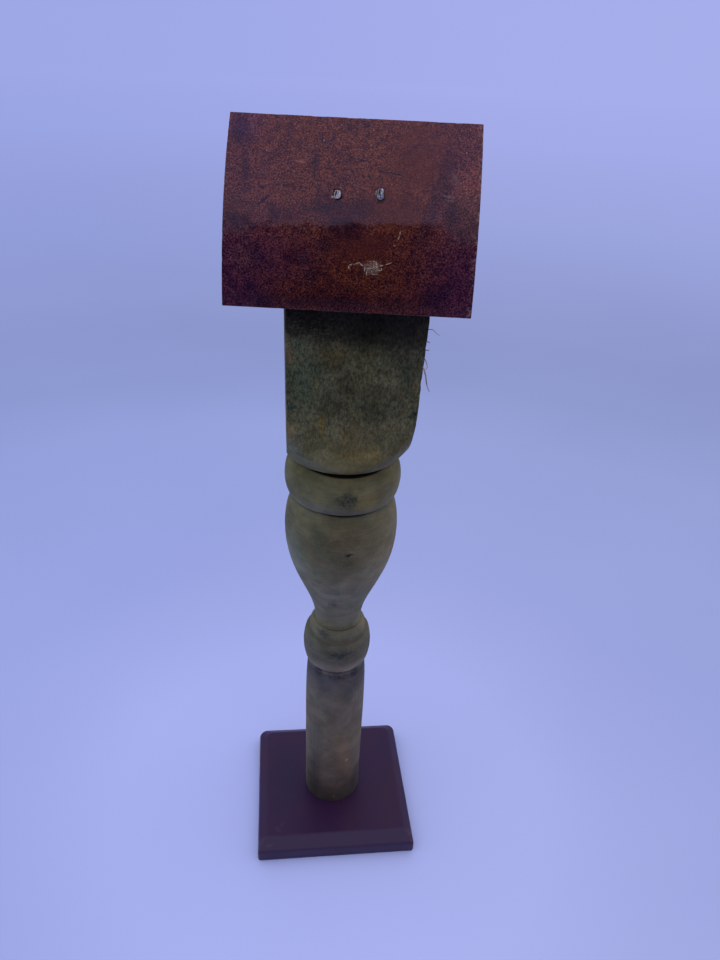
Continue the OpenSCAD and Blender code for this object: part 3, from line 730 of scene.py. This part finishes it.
TOP_SPECKS = [(-6.5, 14.8, 0.24), (3.4, 14.2, 0.24), (-3, 18.5, 0.16), (9.6, -6.6, 0.22), (-8, -14.6, 0.15),
              (17.4, 12.4, 0.16), (23.5, 13.5, 0.2), (-18.5, 12.0, 0.18)]
SCORED, STREAKED, GREYED = (0.010, 0.006, 0.014), (0.022, 0.013, 0.032), (0.13, 0.095, 0.10)
EDGE_WORN, PINK, TORN = (0.20, 0.13, 0.13), (0.24, 0.10, 0.11), (0.34, 0.26, 0.22)
# the first colour on the next line is the painted shadow below each brad
BRAD_SHADOW, SCUFFED = (0.003, 0.002, 0.004), (0.36, 0.27, 0.21)
BARE_DARK, BARE_LIGHT = (0.030, 0.012, 0.010), (0.075, 0.034, 0.022)
GLOSS, BARE_ROUGHNESS = 0.05, 0.6


def varnish_flecks(s, place, ragged):
    """Value of the fine flecks, calmer where the varnish is worn smooth."""
    flecks = s.math("MULTIPLY_ADD", s.noise(0.34, 4.0, 0.82, 0.3, source=place), 0.86,
                    s.times(s.noise(1.7, 3.0, 0.6, 0.6, source=place), 0.14))
    calm = s.any_of([s.oval(where, ragged, 0.3, 0.58) for where in TOP_CALM])
    return s.math("MULTIPLY_ADD", s.math("SUBTRACT", flecks, 0.5), s.math("SUBTRACT", 1.0, calm), 0.5)


def varnish_colour(s, flecks, place, ragged):
    """Mottled varnish, darker towards the lower edge as painted shade, and bluer towards the sides, with its
    patches.
    """
    shaded_lower = s.span(s.part("Y", ragged), -13.0, 3.0, 1.0, 0.0)
    colour = s.mix(shaded_lower, s.ramp(flecks, (0.42, RUST), (0.5, BROWN), (0.59, GOLD)),
                   s.ramp(flecks, (0.41, SHADED_RUST), (0.5, SHADED_BROWN), (0.60, SHADED_GOLD)))
    aside = s.span(s.math("ABSOLUTE", s.part("X", ragged)), 9.0, 25.0)
    colour = s.tint(colour, aside, (0.90, 0.90, 1.35))
    colour = s.tint(colour, s.times(shaded_lower, aside), (0.95, 1.0, 1.85))
    clouds = s.noise(5.5, 4.0, 0.6, 0.6, source=place)
    colour = s.tint(colour, s.span(clouds, 0.5, 0.74, 0.0, 0.75), (0.42, 0.42, 0.85))
    for where, inner, peak, factors in TOP_TINTS:
        colour = s.tint(colour, s.oval(where, ragged, inner, peak), factors)
    streaks = [s.oval(where, ragged, 0.15, 0.75) for where in TOP_STREAKS]
    band = [s.stroke(start, end, BAND_WIDTH, ragged, 0.55) for start, end in zip(TOP_BAND, TOP_BAND[1:])]
    colour = s.tint(colour, s.any_of(streaks + band), (0.38, 0.40, 0.85))
    smudge = s.any_of([s.oval(where, ragged, 0.3, peak) for where, peak in TOP_SMUDGE])
    return s.tint(colour, smudge, (0.34, 0.29, 0.66))


def varnish_scores(s, colour, place, flat, ragged, crisp):
    """Dark, grey and pink lines in the varnish, and its right edge worn through in specks."""
    def lines(rows):
        return [s.stroke(start, end, width, crisp, peak) for start, end, width, peak in rows]

    gaps = s.span(s.noise(0.45, 2.0, 0.6, source=place), 0.36, 0.52, 0.35, 1.0)
    colour = s.mix(s.times(s.any_of(lines(TOP_SCORES)), gaps), colour, SCORED)
    streaks = s.span(s.noise(0.5, 3.0, 0.6, source=s.stretch((0.12, 1.6, 0), place)), 0.48, 0.58)
    colour = s.mix(s.times(streaks, s.oval((-3, -0.6, 10, 2.6), flat, 0.3, 0.75)), colour, STREAKED)
    scrape = s.oval((21.3, 7.6, 1.1, 2.8), ragged, 0.2, 0.28, 0.3)
    colour = s.mix(s.any_of(lines(GREY_SCORES) + [scrape]), colour, GREYED)
    specks = s.span(s.noise(0.8, 3.0, 0.7, source=place), 0.54, 0.60)
    edge = s.times(s.span(s.part("X", ragged), 25.2, 26.9), specks)
    colour = s.mix(s.times(edge, 0.7), colour, EDGE_WORN)
    return s.mix(s.any_of(lines(PINK_SCORES)), colour, PINK)


def varnish_scuffs(s, place, ragged, crisp):
    """Mask of the pale scratches, the specks and the worn patch."""
    pale = [s.stroke(start, end, width, crisp) for start, end, width in TOP_SCUFFS]
    pale += [s.oval((x, y, radius, radius), crisp) for x, y, radius in TOP_SPECKS]
    broken = s.span(s.noise(0.35, 2.0, 0.6, source=place), 0.34, 0.5)
    scratched = s.span(s.noise(0.36, 4.0, 0.75, 1.2, source=s.stretch((1, 1.4, 1), place)), 0.47, 0.58)
    patch = s.times(scratched, s.oval(WORN_PATCH, ragged, 0.4, 0.7))
    return s.math("MAXIMUM", s.times(s.any_of(pale), broken), patch)


def varnish_holes(s, colour, flat, crisp):
    """Torn varnish round the two brads, and the brads' shadows painted dark below them."""
    holes = [((x - TOP_CENTRE) / MM, (y - TOP_MIDDLE) / MM) for x, y, _ in BRADS]
    (left_x, left_y), (right_x, right_y) = holes
    torn = s.any_of([s.oval((left_x - 1.05, left_y - 0.75, 0.4, 0.4), crisp),
                     s.oval((right_x - 0.9, right_y + 0.5, 0.22, 0.8), crisp)])
    # painted shadows below the brads
    brad_shadows = s.any_of([s.oval((x + 0.2, y - 0.75, 1.0, 0.62), flat, 0.7) for x, y in holes])
    return s.mix(brad_shadows, s.mix(torn, colour, TORN), BRAD_SHADOW)


def top_material():
    s = Shader("mottled_varnish")
    place = s.frame(TOP_FRAME @ Matrix.Translation((TOP_CENTRE, TOP_MIDDLE, BOW_AXIS)))
    flat = s.stretch((1, 1, 0), place)
    ragged = s.stretch((1, 1, 0), s.warp(0.9, 2.2, place))
    crisp = s.stretch((1, 1, 0), s.warp(0.22, 0.7, place))
    flecks = varnish_flecks(s, place, ragged)
    colour = varnish_colour(s, flecks, place, ragged)
    colour = varnish_scores(s, colour, place, flat, ragged, crisp)
    colour = varnish_holes(s, colour, flat, crisp)
    pale = varnish_scuffs(s, place, ragged, crisp)
    colour = s.mix(pale, colour, SCUFFED)
    # only the outer face is varnished; the edges and the underside are bare wood
    depth = s.length(s.stretch((0, 1, 1), place))
    face = s.span(depth, BOW_OUTER / MM - 0.55, BOW_OUTER / MM - 0.25)
    figure = s.noise(0.7, 3.0, 0.6, 0.3, source=s.stretch((0.06, 1, 1), place))
    colour = s.mix(face, s.ramp(figure, (0.3, BARE_DARK), (0.7, BARE_LIGHT)), colour)
    dulled = [s.oval(where, ragged, 0.3, roughness) for where, roughness in TOP_DULLED]
    rough = s.any_of([s.span(face, 0.0, 1.0, BARE_ROUGHNESS, GLOSS), s.times(pale, 0.6)] + dulled)
    relief = s.bump(s.math("SUBTRACT", flecks, pale), 0.00003, 0.14)
    return s.finish(colour, rough, relief, Specular_IOR_Level=0.5)


# ---- bare wood and metal

def plain_wood_material():
    s = Shader("cleat_wood")
    fibre = s.noise(0.8, 3.0, 0.6, 0.2, source=s.stretch((0.08, 1, 1), s.frame(TOP_FRAME)))
    colour = s.ramp(fibre, (0.25, srgb(88, 74, 56)), (0.75, srgb(136, 118, 92)))
    return s.finish(colour, 0.75, s.bump(fibre, 0.0002, 0.5), Specular_IOR_Level=0.3)


def nipped_material(name, brad, strokes):
    """Bright steel of a nipped end, with dark lines of painted shade drawn round the brad's axis, in mm."""
    s = Shader(name)
    x, y, _ = brad
    place = s.stretch((1, 1, 0), s.frame(TOP_FRAME @ Matrix.Translation((x, y, 0))))
    shade = s.noise(0.5, 3.0, 0.7, 0.5)
    colour = s.ramp(shade, (0.36, srgb(116, 112, 124)), (0.62, srgb(206, 204, 214)))
    shaken = s.warp(0.1, 0.4, place)
    # painted shade in the clefts
    dark = s.any_of([s.stroke(start, end, width, shaken) for start, end, width in strokes])
    colour = s.mix(dark, colour, (0.020, 0.016, 0.036))
    return s.finish(colour, 0.5, s.bump(shade, 0.00004, 0.4), Metallic=0.3)


def metal_material(name, dark, light, polished, dull, metallic=1.0):
    s = Shader(name)
    tarnish = s.noise(1.6, 4.0, 0.65)
    return s.finish(s.ramp(tarnish, (0.35, dark), (0.65, light)), s.span(tarnish, 0.3, 0.7, dull, polished),
                    s.bump(s.noise(0.2), 0.00003, 0.3), Metallic=metallic)


# ---- the post

POST_COLUMNS = 360
POST_STEP, FINE_STEP = 0.55 * MM, 0.3 * MM
FINE_MIDDLE, FINE_HALF = 107 * MM, 45 * MM  # where the profile is most curved, and how far from there
CORNER_CROWDING = 0.7  # how far the columns of the mesh crowd to the block's corners
ABOVE_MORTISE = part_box("hinge_leaf_post")[0].z - 0.6 * MM
HINGE_ROOM = 0.2 * MM
# the top edge is rubbed round: how far under the end, and how far in from the outline
POST_TOP_EDGE = [(0.2 * MM, 0.06 * MM), (0.05 * MM, 0.2 * MM), (0, 0.5 * MM)]
VASE_FLANK, VASE_FLANK_REACH, VASE_HOLLOW = 90 * MM, 7 * MM, 0.22


def post_radii(heights, angles):
    """Distance from the axis to the CAD post's surface, found with rays from outside."""
    mesh = frame["nodes"]["post"].data
    tree = BVHTree.FromPolygons([v.co for v in mesh.vertices], [p.vertices[:] for p in mesh.polygons])
    reach = 2 * POST_HALF
    radii = np.zeros((len(heights), len(angles)))
    for row, height in enumerate(heights):
        height = min(max(height, POST_LOW.z + 0.02 * MM), ABOVE_MORTISE)
        for column, angle in enumerate(angles):
            out = Vector((math.cos(angle), math.sin(angle), 0))
            hit = tree.ray_cast(out * reach + Vector((0, 0, height)), -out)
            radii[row, column] = reach - hit[3]
    return radii


def worn_radii(radii, heights, angles):
    """Takes wear, grain and tool marks off the radii, all of them inwards."""
    z = np.repeat(heights[:, None], len(angles), axis=1)
    points = np.stack([radii * np.cos(angles), radii * np.sin(angles), z], axis=-1).reshape(-1, 3) / MM
    grain = layered_noise(points, (1.1, 1.1, 8), 1).reshape(radii.shape)
    waves = layered_noise(points, (5, 5, 9), 5, 2).reshape(radii.shape)
    lumps = layered_noise(points, (2.2, 2.2, 2.6), 9).reshape(radii.shape)
    corner = ramp_up(radii, 1.26 * POST_HALF, 1.40 * POST_HALF)
    foot = ramp_up(z, POST_LOW.z + 1.6 * MM, POST_LOW.z)
    wear = 0.05 * grain + 0.05 * waves
    wear = wear + corner * (0.08 + 0.5 * np.clip(lumps - 0.15, 0, 1))
    wear = wear + foot * 0.25 * np.clip(lumps + 0.2, 0, 1)
    # the vase's flank is hollowed a little more than its drawn curve
    wear = wear + VASE_HOLLOW * bell(z - VASE_FLANK, VASE_FLANK_REACH)
    return radii - wear * MM


def hinge_cutters():
    """The mortise of the hinge's leaf and the trough of its barrel, with a little room."""
    leaf = local_points("hinge_leaf_post", HINGE_FRAME)
    pin = local_points("hinge_pin", HINGE_FRAME)
    (left, _, under), (right, back, over) = leaf.min(0), leaf.max(0)
    mortise = box_object(HINGE_FRAME, (left - HINGE_ROOM, -POST_HALF, under),
                         (right + HINGE_ROOM, back + HINGE_ROOM, POST_HALF))
    barrel = rod_object(HINGE_FRAME, over + HINGE_ROOM, pin.min(0)[0] - HINGE_ROOM,
                        pin.max(0)[0] + HINGE_ROOM)
    return [mortise, barrel]


def make_post():
    turns = round_angles(POST_COLUMNS)
    angles = turns + CORNER_CROWDING * np.sin(4 * turns) / 4
    curved = (FINE_MIDDLE, FINE_HALF, FINE_STEP)
    heights = spaced(POST_LOW.z, POST_HIGH.z - 0.5 * MM, POST_STEP, [curved])
    radii = worn_radii(post_radii(heights, angles), heights, angles)
    rim = radii[-1]
    # both ends of the stock close in to its middle
    rows = [(POST_LOW.z, radii[0] * share) for share in (0.1, 0.6)] + list(zip(heights, radii))
    rows += [(POST_HIGH.z - under, rim - inwards) for under, inwards in POST_TOP_EDGE]
    rows += [(POST_HIGH.z, rim * share) for share in (0.9, 0.75, 0.55, 0.3, 0.1)]
    points = [(r * math.cos(a), r * math.sin(a), z) for z, ring in rows for r, a in zip(ring, angles)]
    post = new_object("turned_post", points, tube_faces(len(rows), POST_COLUMNS))
    cut(post, hinge_cutters())
    smooth(post, sharp_deg=38)
    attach(post, "stand")
    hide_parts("post")
    return post


# loose fibres that stand off the block's right front arris: radius at the root, and points, in mm
STRANDS = [
    (0.10, [(16.9, -15.6, 174.0), (17.3, -16.0, 174.2), (18.0, -16.0, 174.2), (18.8, -16.1, 173.4),
            (19.7, -16.2, 172.8)]),
    (0.15, [(16.7, -15.7, 171.2), (17.2, -15.9, 171.2), (17.7, -16.0, 171.0)]),
    (0.15, [(16.6, -15.7, 169.2), (17.3, -15.8, 169.1), (17.8, -15.9, 169.3)]),
    (0.14, [(16.5, -15.6, 167.2), (16.9, -15.9, 166.8), (17.3, -16.0, 166.0), (17.5, -16.1, 165.1),
            (17.2, -16.1, 164.5)]),
    (0.20, [(16.4, -15.6, 165.2), (16.8, -15.9, 164.5), (17.3, -16.0, 163.0), (17.6, -16.1, 161.3),
            (17.9, -16.2, 160.2), (18.5, -16.2, 158.9)])]
STRAND_SIDES = 6
STRAND_TAPER = 0.7  # share of the radius lost at the tip


def make_splinters():
    points, faces = [], []
    for root, strand in STRANDS:
        path = [Vector(p) * MM for p in strand]
        first, last = len(points), len(path) - 1
        for step, at in enumerate(path):
            along = (path[min(step + 1, last)] - path[max(step - 1, 0)]).normalized()
            side = along.cross(Vector((0, 1, 0))).normalized()
            over = side.cross(along)
            radius = root * MM * (1 - STRAND_TAPER * (step / last) ** 2)
            points += [at + radius * (side * math.cos(a) + over * math.sin(a))
                       for a in round_angles(STRAND_SIDES)]
        faces += [tuple(first + i for i in face) for face in tube_faces(len(path), STRAND_SIDES)]
    splinters = new_object("post_splinters", points, faces)
    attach(splinters, "stand")
    return splinters


# ---- the foot plate

SIDE_POINTS, CORNER_POINTS = 48, 10
BASE_EDGE = 4.0 * MM  # height of the upright edge under the bevel
FRONT_BEVEL, SIDE_BEVEL = 4.5 * MM, 3.0 * MM
FRONT_CORNER, BACK_CORNER = 0.9 * MM, 2.5 * MM
# the underside and the edge up to the bevel: how far in, and how high, in mm
EDGE_ROWS = [(14, 0), (3, 0), (0.6, 0), (0.2, 0.06), (0.04, 0.25), (0, 0.6), (0, 1.4), (0, 2.2), (0, 2.8),
             (0.03, 3.3), (0.12, 3.66), (0.3, 3.96)]
# the bevel, by its share of the way in; it runs over softly into the flat top
BEVEL_SHARES = (0.13, 0.2, 0.3, 0.4, 0.5, 0.6, 0.7, 0.8, 0.87, 0.94, 1.0, 1.07, 1.14)
BEVEL_SOFT_FROM, BEVEL_SOFTNESS = 0.86, 0.56
FLAT_INSETS = np.arange(0.9, 19, 0.9) * MM
NAIL_ROOM, NAIL_DEPTH = 0.05 * MM, 1.1 * MM


def plate_outline(front_inset, side_inset):
    """Square with round corners, drawn in from the foot plate's edges, as an array of (x, y)."""
    half = BASE_HIGH.x
    arcs = []
    for sx, sy, start in ((1, -1, -90), (1, 1, 0), (-1, 1, 90), (-1, -1, 180)):
        radius = FRONT_CORNER if sy < 0 else BACK_CORNER
        radius = min(radius, 0.9 * (half - front_inset))
        inset = front_inset if sy < 0 else side_inset
        angles = np.radians(start + np.linspace(0, 90, CORNER_POINTS))
        arcs.append(np.column_stack([sx * (half - side_inset - radius) + radius * np.cos(angles),
                                     sy * (half - inset - radius) + radius * np.sin(angles)]))
    points = []
    for arc, after in zip(arcs, arcs[1:] + arcs[:1]):
        points += list(arc)
        points += [arc[-1] + (after[0] - arc[-1]) * step / SIDE_POINTS for step in range(1, SIDE_POINTS)]
    return np.array(points)


def plate_rows():
    """Front inset, side inset and height of each ring of the foot plate, from below."""
    rows = [(inset * MM, inset * MM, height * MM) for inset, height in EDGE_ROWS]
    rise = BASE_HIGH.z - BASE_EDGE
    for share in BEVEL_SHARES:
        soft = share - max(0.0, share - BEVEL_SOFT_FROM) ** 2 / BEVEL_SOFTNESS
        rows.append((share * FRONT_BEVEL, share * SIDE_BEVEL, BASE_EDGE + rise * min(1.0, soft)))
    last_front, last_side, _ = rows[-1]
    return rows + [(last_front + step, last_side + step, BASE_HIGH.z) for step in FLAT_INSETS]


def brushed(points):
    """The plate's points with the unevenness of thick paint, all of it inwards."""
    lumps = layered_noise(points / MM, 7, 21, 2)
    fine = layered_noise(points / MM, 1.3, 25, 2)
    side = ramp_up(np.abs(points[:, :2]).max(1), BASE_HIGH.x - 2 * MM, BASE_HIGH.x - 0.3 * MM)[:, None]
    lifted = points[:, 2] > 1 * MM
    points = points - outwards(points) * side * (0.05 + 0.05 * lumps + 0.03 * fine)[:, None] * MM
    points[:, 2] -= lifted * (0.04 + 0.04 * lumps + 0.02 * fine) * MM
    return points


def nail_cutters():
    cutters = []
    for name in ("base_nail_left", "base_nail_right"):
        low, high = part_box(name)
        middle = (low + high) / 2
        upright = Matrix.Translation((middle.x, middle.y, 0)) @ Matrix.Rotation(math.radians(-90), 4, "Y")
        cutters.append(rod_object(upright, (high.x - low.x) / 2 + NAIL_ROOM, -1 * MM, NAIL_DEPTH))
    return cutters


def make_base():
    rings = []
    for front, side, height in plate_rows():
        outline = plate_outline(front, side)
        rings.append(np.column_stack([outline, np.full(len(outline), height)]))
    base = new_object("foot_plate", brushed(np.concatenate(rings)), tube_faces(len(rings), len(rings[0])))
    cut(base, nail_cutters())
    smooth(base, sharp_deg=30)
    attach(base, "stand")
    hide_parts("base_plate")
    return base


# ---- the top

TOP_STEP, RIM_STEP, BRAD_STEP, THICK_STEP = 0.45 * MM, 0.1 * MM, 0.16 * MM, 0.25 * MM
RIM_WIDTH, BRAD_WIDTH = 0.7 * MM, 1.7 * MM  # how far the mesh is finer at the edges and round the brads
TOP_ARRIS = 0.16 * MM  # radius of the panel's edges
HIGHEST_LIP = 0.12 * MM  # how far torn wood may stand over the face
# chips out of the top's edges: (across, up) from its middle, size and depth, in mm
TOP_CHIPS = [(27.1, 1.2, 0.9, 0.45), (27.0, 16.6, 0.7, 0.3), (-26.9, 17.3, 0.6, 0.25),
             (-26.9, -15.0, 0.6, 0.2), (9.5, -20.8, 0.7, 0.2), (-27.0, 8.2, 0.6, 0.25)]


def bow_of_top():
    """The top's bow in its own frame: left, right, middle, axis height, outer and inner radius."""
    points = local_points("top_panel", TOP_FRAME)
    low, high = points.min(0), points.max(0)
    at_edge = points[points[:, 1] > high[1] - 0.01 * MM]
    rise = high[2] - at_edge[:, 2].max()
    half_chord = (high[1] - low[1]) / 2
    outer = (half_chord**2 + rise**2) / (2 * rise)
    axis = high[2] - outer
    inner = (low[2] - axis) / math.sqrt(1 - (half_chord / outer) ** 2)
    return low[0], high[0], (low[1] + high[1]) / 2, axis, outer, inner


def brad_shank(name):
    """Lowest and highest corner of a brad without its head, in the frame of the top."""
    points = local_points(name, TOP_FRAME)
    shank = points[points[:, 2] > points[:, 2].min() + 2 * MM]
    return shank.min(0), shank.max(0)


def brad_places():
    """Centre (x, y) and radius of each brad in the frame of the top."""
    places = []
    for name in ("top_brad_left", "top_brad_right"):
        low, high = brad_shank(name)
        x, y, _ = (low + high) / 2
        places.append((x, y, (high[0] - low[0]) / 2))
    return places


TOP_LEFT, TOP_RIGHT, TOP_MIDDLE, BOW_AXIS, BOW_OUTER, BOW_INNER = bow_of_top()
TOP_CENTRE = (TOP_LEFT + TOP_RIGHT) / 2
BRADS = brad_places()


def along_bow(y):
    """How far along the bow a place is whose y is known in the frame of the top."""
    return BOW_OUTER * math.asin((y - TOP_MIDDLE) / BOW_OUTER)


BRAD_ALONG = along_bow(BRADS[0][1])


def bend(points):
    """Flat (across, along the bow, height) to the frame of the top."""
    angle = points[:, 1] / BOW_OUTER
    radius = BOW_OUTER + points[:, 2]
    return np.column_stack([points[:, 0], TOP_MIDDLE + radius * np.sin(angle),
                            BOW_AXIS + radius * np.cos(angle)])


def top_grid(low, high):
    """The flat panel's points and faces, finer along its edges and round the brads."""
    lines = []
    for axis, brads in ((0, [x for x, _, _ in BRADS]), (1, [BRAD_ALONG])):
        fine = [(edge, RIM_WIDTH, RIM_STEP) for edge in (low[axis], high[axis])]
        fine += [(at, BRAD_WIDTH, BRAD_STEP) for at in brads]
        lines.append(spaced(low[axis], high[axis], TOP_STEP, fine))
    points, faces = box_grid(*lines, spaced(low[2], high[2], THICK_STEP))
    return round_edges(points, low, high, TOP_ARRIS), faces


def frayed(points, low, high):
    """The panel's points with its four edges worn inwards."""
    to_edge = np.minimum(points[:, :2] - low[:2], high[:2] - points[:, :2]).min(1)
    near_edge = ramp_up(to_edge, 0.9 * MM, 0.0)
    lumps = layered_noise(points / MM, (1.6, 1.6, 0.9), 31)
    wear = near_edge * (0.03 + 0.22 * np.clip(lumps - 0.15, 0, 1))
    return points - outwards(points, (low + high) / 2) * wear[:, None] * MM


def face_wear(points):
    """How far the panel's face is lowered at each point, in mm: grain, chips and the brads' torn holes."""
    lowered = 0.02 + 0.02 * layered_noise(points / MM, 1.7, 35)
    ragged = layered_noise(points / MM, 0.7, 37)
    torn = layered_noise(points / MM, 0.6, 41)
    for across, up, size, depth in TOP_CHIPS:
        away = np.hypot(points[:, 0] - TOP_CENTRE - across * MM, points[:, 1] - up * MM) / MM
        lowered = lowered + depth * ramp_up(away + 0.5 * ragged, size, 0.3 * size)
    for x, _, radius in BRADS:
        away = np.hypot(points[:, 0] - x, points[:, 1] - BRAD_ALONG) / radius
        lowered = lowered + 0.3 * ramp_up(away, 1.2, 1.02)
        lowered = lowered - 0.1 * bell(away - 1.5, 0.3) * np.clip(0.3 + 1.4 * torn, 0, 1.3)
    return lowered


def make_top():
    half = along_bow(local_points("top_panel", TOP_FRAME).max(0)[1])
    low = np.array([TOP_LEFT, -half, BOW_INNER - BOW_OUTER])
    high = np.array([TOP_RIGHT, half, 0])
    points, faces = top_grid(low, high)
    points = frayed(points, low, high)
    face = ramp_up(points[:, 2], -0.4 * MM, -0.05 * MM)
    points[:, 2] -= face * face_wear(points) * MM
    points[:, 2] = np.minimum(points[:, 2], HIGHEST_LIP)
    top = new_object("top_board", [TOP_FRAME @ Vector(p) for p in bend(points)], faces, 40)
    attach(top, "top")
    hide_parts("top_panel")
    return top


# ---- the brads

BRAD_SIDES = 36
BRAD_RADIUS = 0.8 * MM
HEAD_HEIGHT = 0.5 * MM
NIPPED_LENGTH = 1.1 * MM  # length of the end that the nippers flattened
NIPPED_POWER = 0.55  # how square that end is


def rounded_square(angles, power):
    """Points of a unit shape between a circle (power 1) and a square (power near 0)."""
    across, up = np.cos(angles), np.sin(angles)
    return np.sign(across) * np.abs(across) ** power, np.sign(up) * np.abs(up) ** power


def brad_rings(low, high, half_across, half_up, turn):
    """A brad's rings about its own axis, from the head up, as a list of (xs, ys, height)."""
    angles = round_angles(BRAD_SIDES)
    head = (high[0] - low[0]) / 2
    head_top = low[2] + HEAD_HEIGHT
    nipped_from = high[2] - NIPPED_LENGTH
    rows = [(low[2], head * 0.9), (low[2] + 0.08 * MM, head), (head_top - 0.08 * MM, head),
            (head_top, head * 0.94), (head_top + 0.02 * MM, BRAD_RADIUS)]
    rows += [(z, BRAD_RADIUS) for z in np.linspace(head_top + 0.3 * MM, nipped_from, 6)]
    rings = [(radius * np.cos(angles), radius * np.sin(angles), z) for z, radius in rows]
    rows = [(z, 1) for z in np.linspace(nipped_from + 0.1 * MM, high[2] - 0.05 * MM, 7)]
    rows += [(high[2], share) for share in (0.92, 0.78, 0.6, 0.42, 0.24, 0.08)]
    square_x, square_y = rounded_square(angles, NIPPED_POWER)
    for z, share in rows:
        x, y = half_across * MM * share * square_x, half_up * MM * share * square_y
        rings.append((x * math.cos(turn) - y * math.sin(turn), x * math.sin(turn) + y * math.cos(turn), z))
    return rings


def nip_off(points, middle, end_height, cleft, bent, seed):
    """Bends the brad's end up or down, roughens it and cuts a cleft across it, in place."""
    rough = layered_noise(points / MM, 0.4, seed)
    nipped = ramp_up(points[:, 2], end_height - NIPPED_LENGTH, end_height)
    points[:, 1] += bent * MM * nipped
    across = (points[:, 0] - middle[0]) / MM
    up = (points[:, 1] - middle[1]) / MM - bent
    points[:, 0] += 0.09 * rough * nipped * MM
    points[:, 1] += 0.07 * rough[::-1] * nipped * MM
    end = ramp_up(points[:, 2], end_height - 0.3 * MM, end_height)
    drop = 0.45 * bell(across - cleft - 0.15 * up, 0.17)
    drop = drop + 0.22 * np.clip(0.3 - across, 0, 1) + 0.2 * np.clip(up, 0, 1)
    points[:, 2] = np.minimum(points[:, 2] - (drop + 0.1 * rough) * end * MM, end_height)


def make_brad(name, half_across, half_up, turn, cleft, bent):
    """A brad with a nipped end: half sizes, turn in radians, place of its cleft, and bend up or down."""
    points = local_points(name, TOP_FRAME)
    low, high = points.min(0), points.max(0)
    middle = sum(brad_shank(name)) / 2
    rings = brad_rings(low, high, half_across, half_up, turn)
    points = np.concatenate([np.column_stack([middle[0] + x, middle[1] + y, np.full(BRAD_SIDES, z)])
                             for x, y, z in rings])
    nip_off(points, middle, high[2], cleft, bent, 51 + len(name))
    brad = new_object(name.replace("top_", "nipped_"), [TOP_FRAME @ Vector(p) for p in points],
                      tube_faces(len(rings), BRAD_SIDES), 30)
    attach(brad, "top")
    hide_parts(name)
    return brad


# ---- build

make_camera()
make_floor()
make_world()

wood = post_material()
dress(make_post(), wood)
dress(make_splinters(), fibre_material())
dress(make_base(), base_material())
dress(make_top(), top_material())
dress(frame["nodes"]["top_cleat"], plain_wood_material())
brass = metal_material("dull_brass", srgb(120, 96, 52), srgb(196, 166, 104), 0.28, 0.5)
steel = metal_material("wire_steel", srgb(150, 150, 154), srgb(224, 222, 226), 0.3, 0.55, 0.4)
for name, node in frame["nodes"].items():
    if name.startswith("hinge_leaf") or name.startswith("hinge_screw"):
        dress(node, brass)
    if name == "hinge_pin" or "nail" in name:
        dress(node, steel)
# dark lines of painted shade in the clefts of the nipped ends: start, end and width, in mm from the brad's
# axis
left_end = nipped_material("nipped_steel_left", BRADS[0],
                           [((-0.38, -0.5), (-0.2, 0.2), 0.4), ((-0.2, 0.2), (-0.35, 0.6), 0.22),
                            ((0.1, -0.3), (0.3, 0.3), 0.18), ((-0.7, 0.5), (-0.5, 0.1), 0.2)])
right_end = nipped_material("nipped_steel_right", BRADS[1],
                            [((-0.2, 1.2), (-0.14, 0.2), 0.42), ((-0.14, 0.2), (0.0, -0.2), 0.26),
                             ((0.2, 0.9), (0.3, 0.5), 0.2)])
dress(make_brad("top_brad_left", half_across=0.68, half_up=0.76, turn=-0.08, cleft=-0.3, bent=-0.5), left_end)
dress(make_brad("top_brad_right", half_across=0.58, half_up=0.66, turn=0.1, cleft=-0.2, bent=0.6), right_end)

bpy.context.scene.view_settings.view_transform = "Standard"
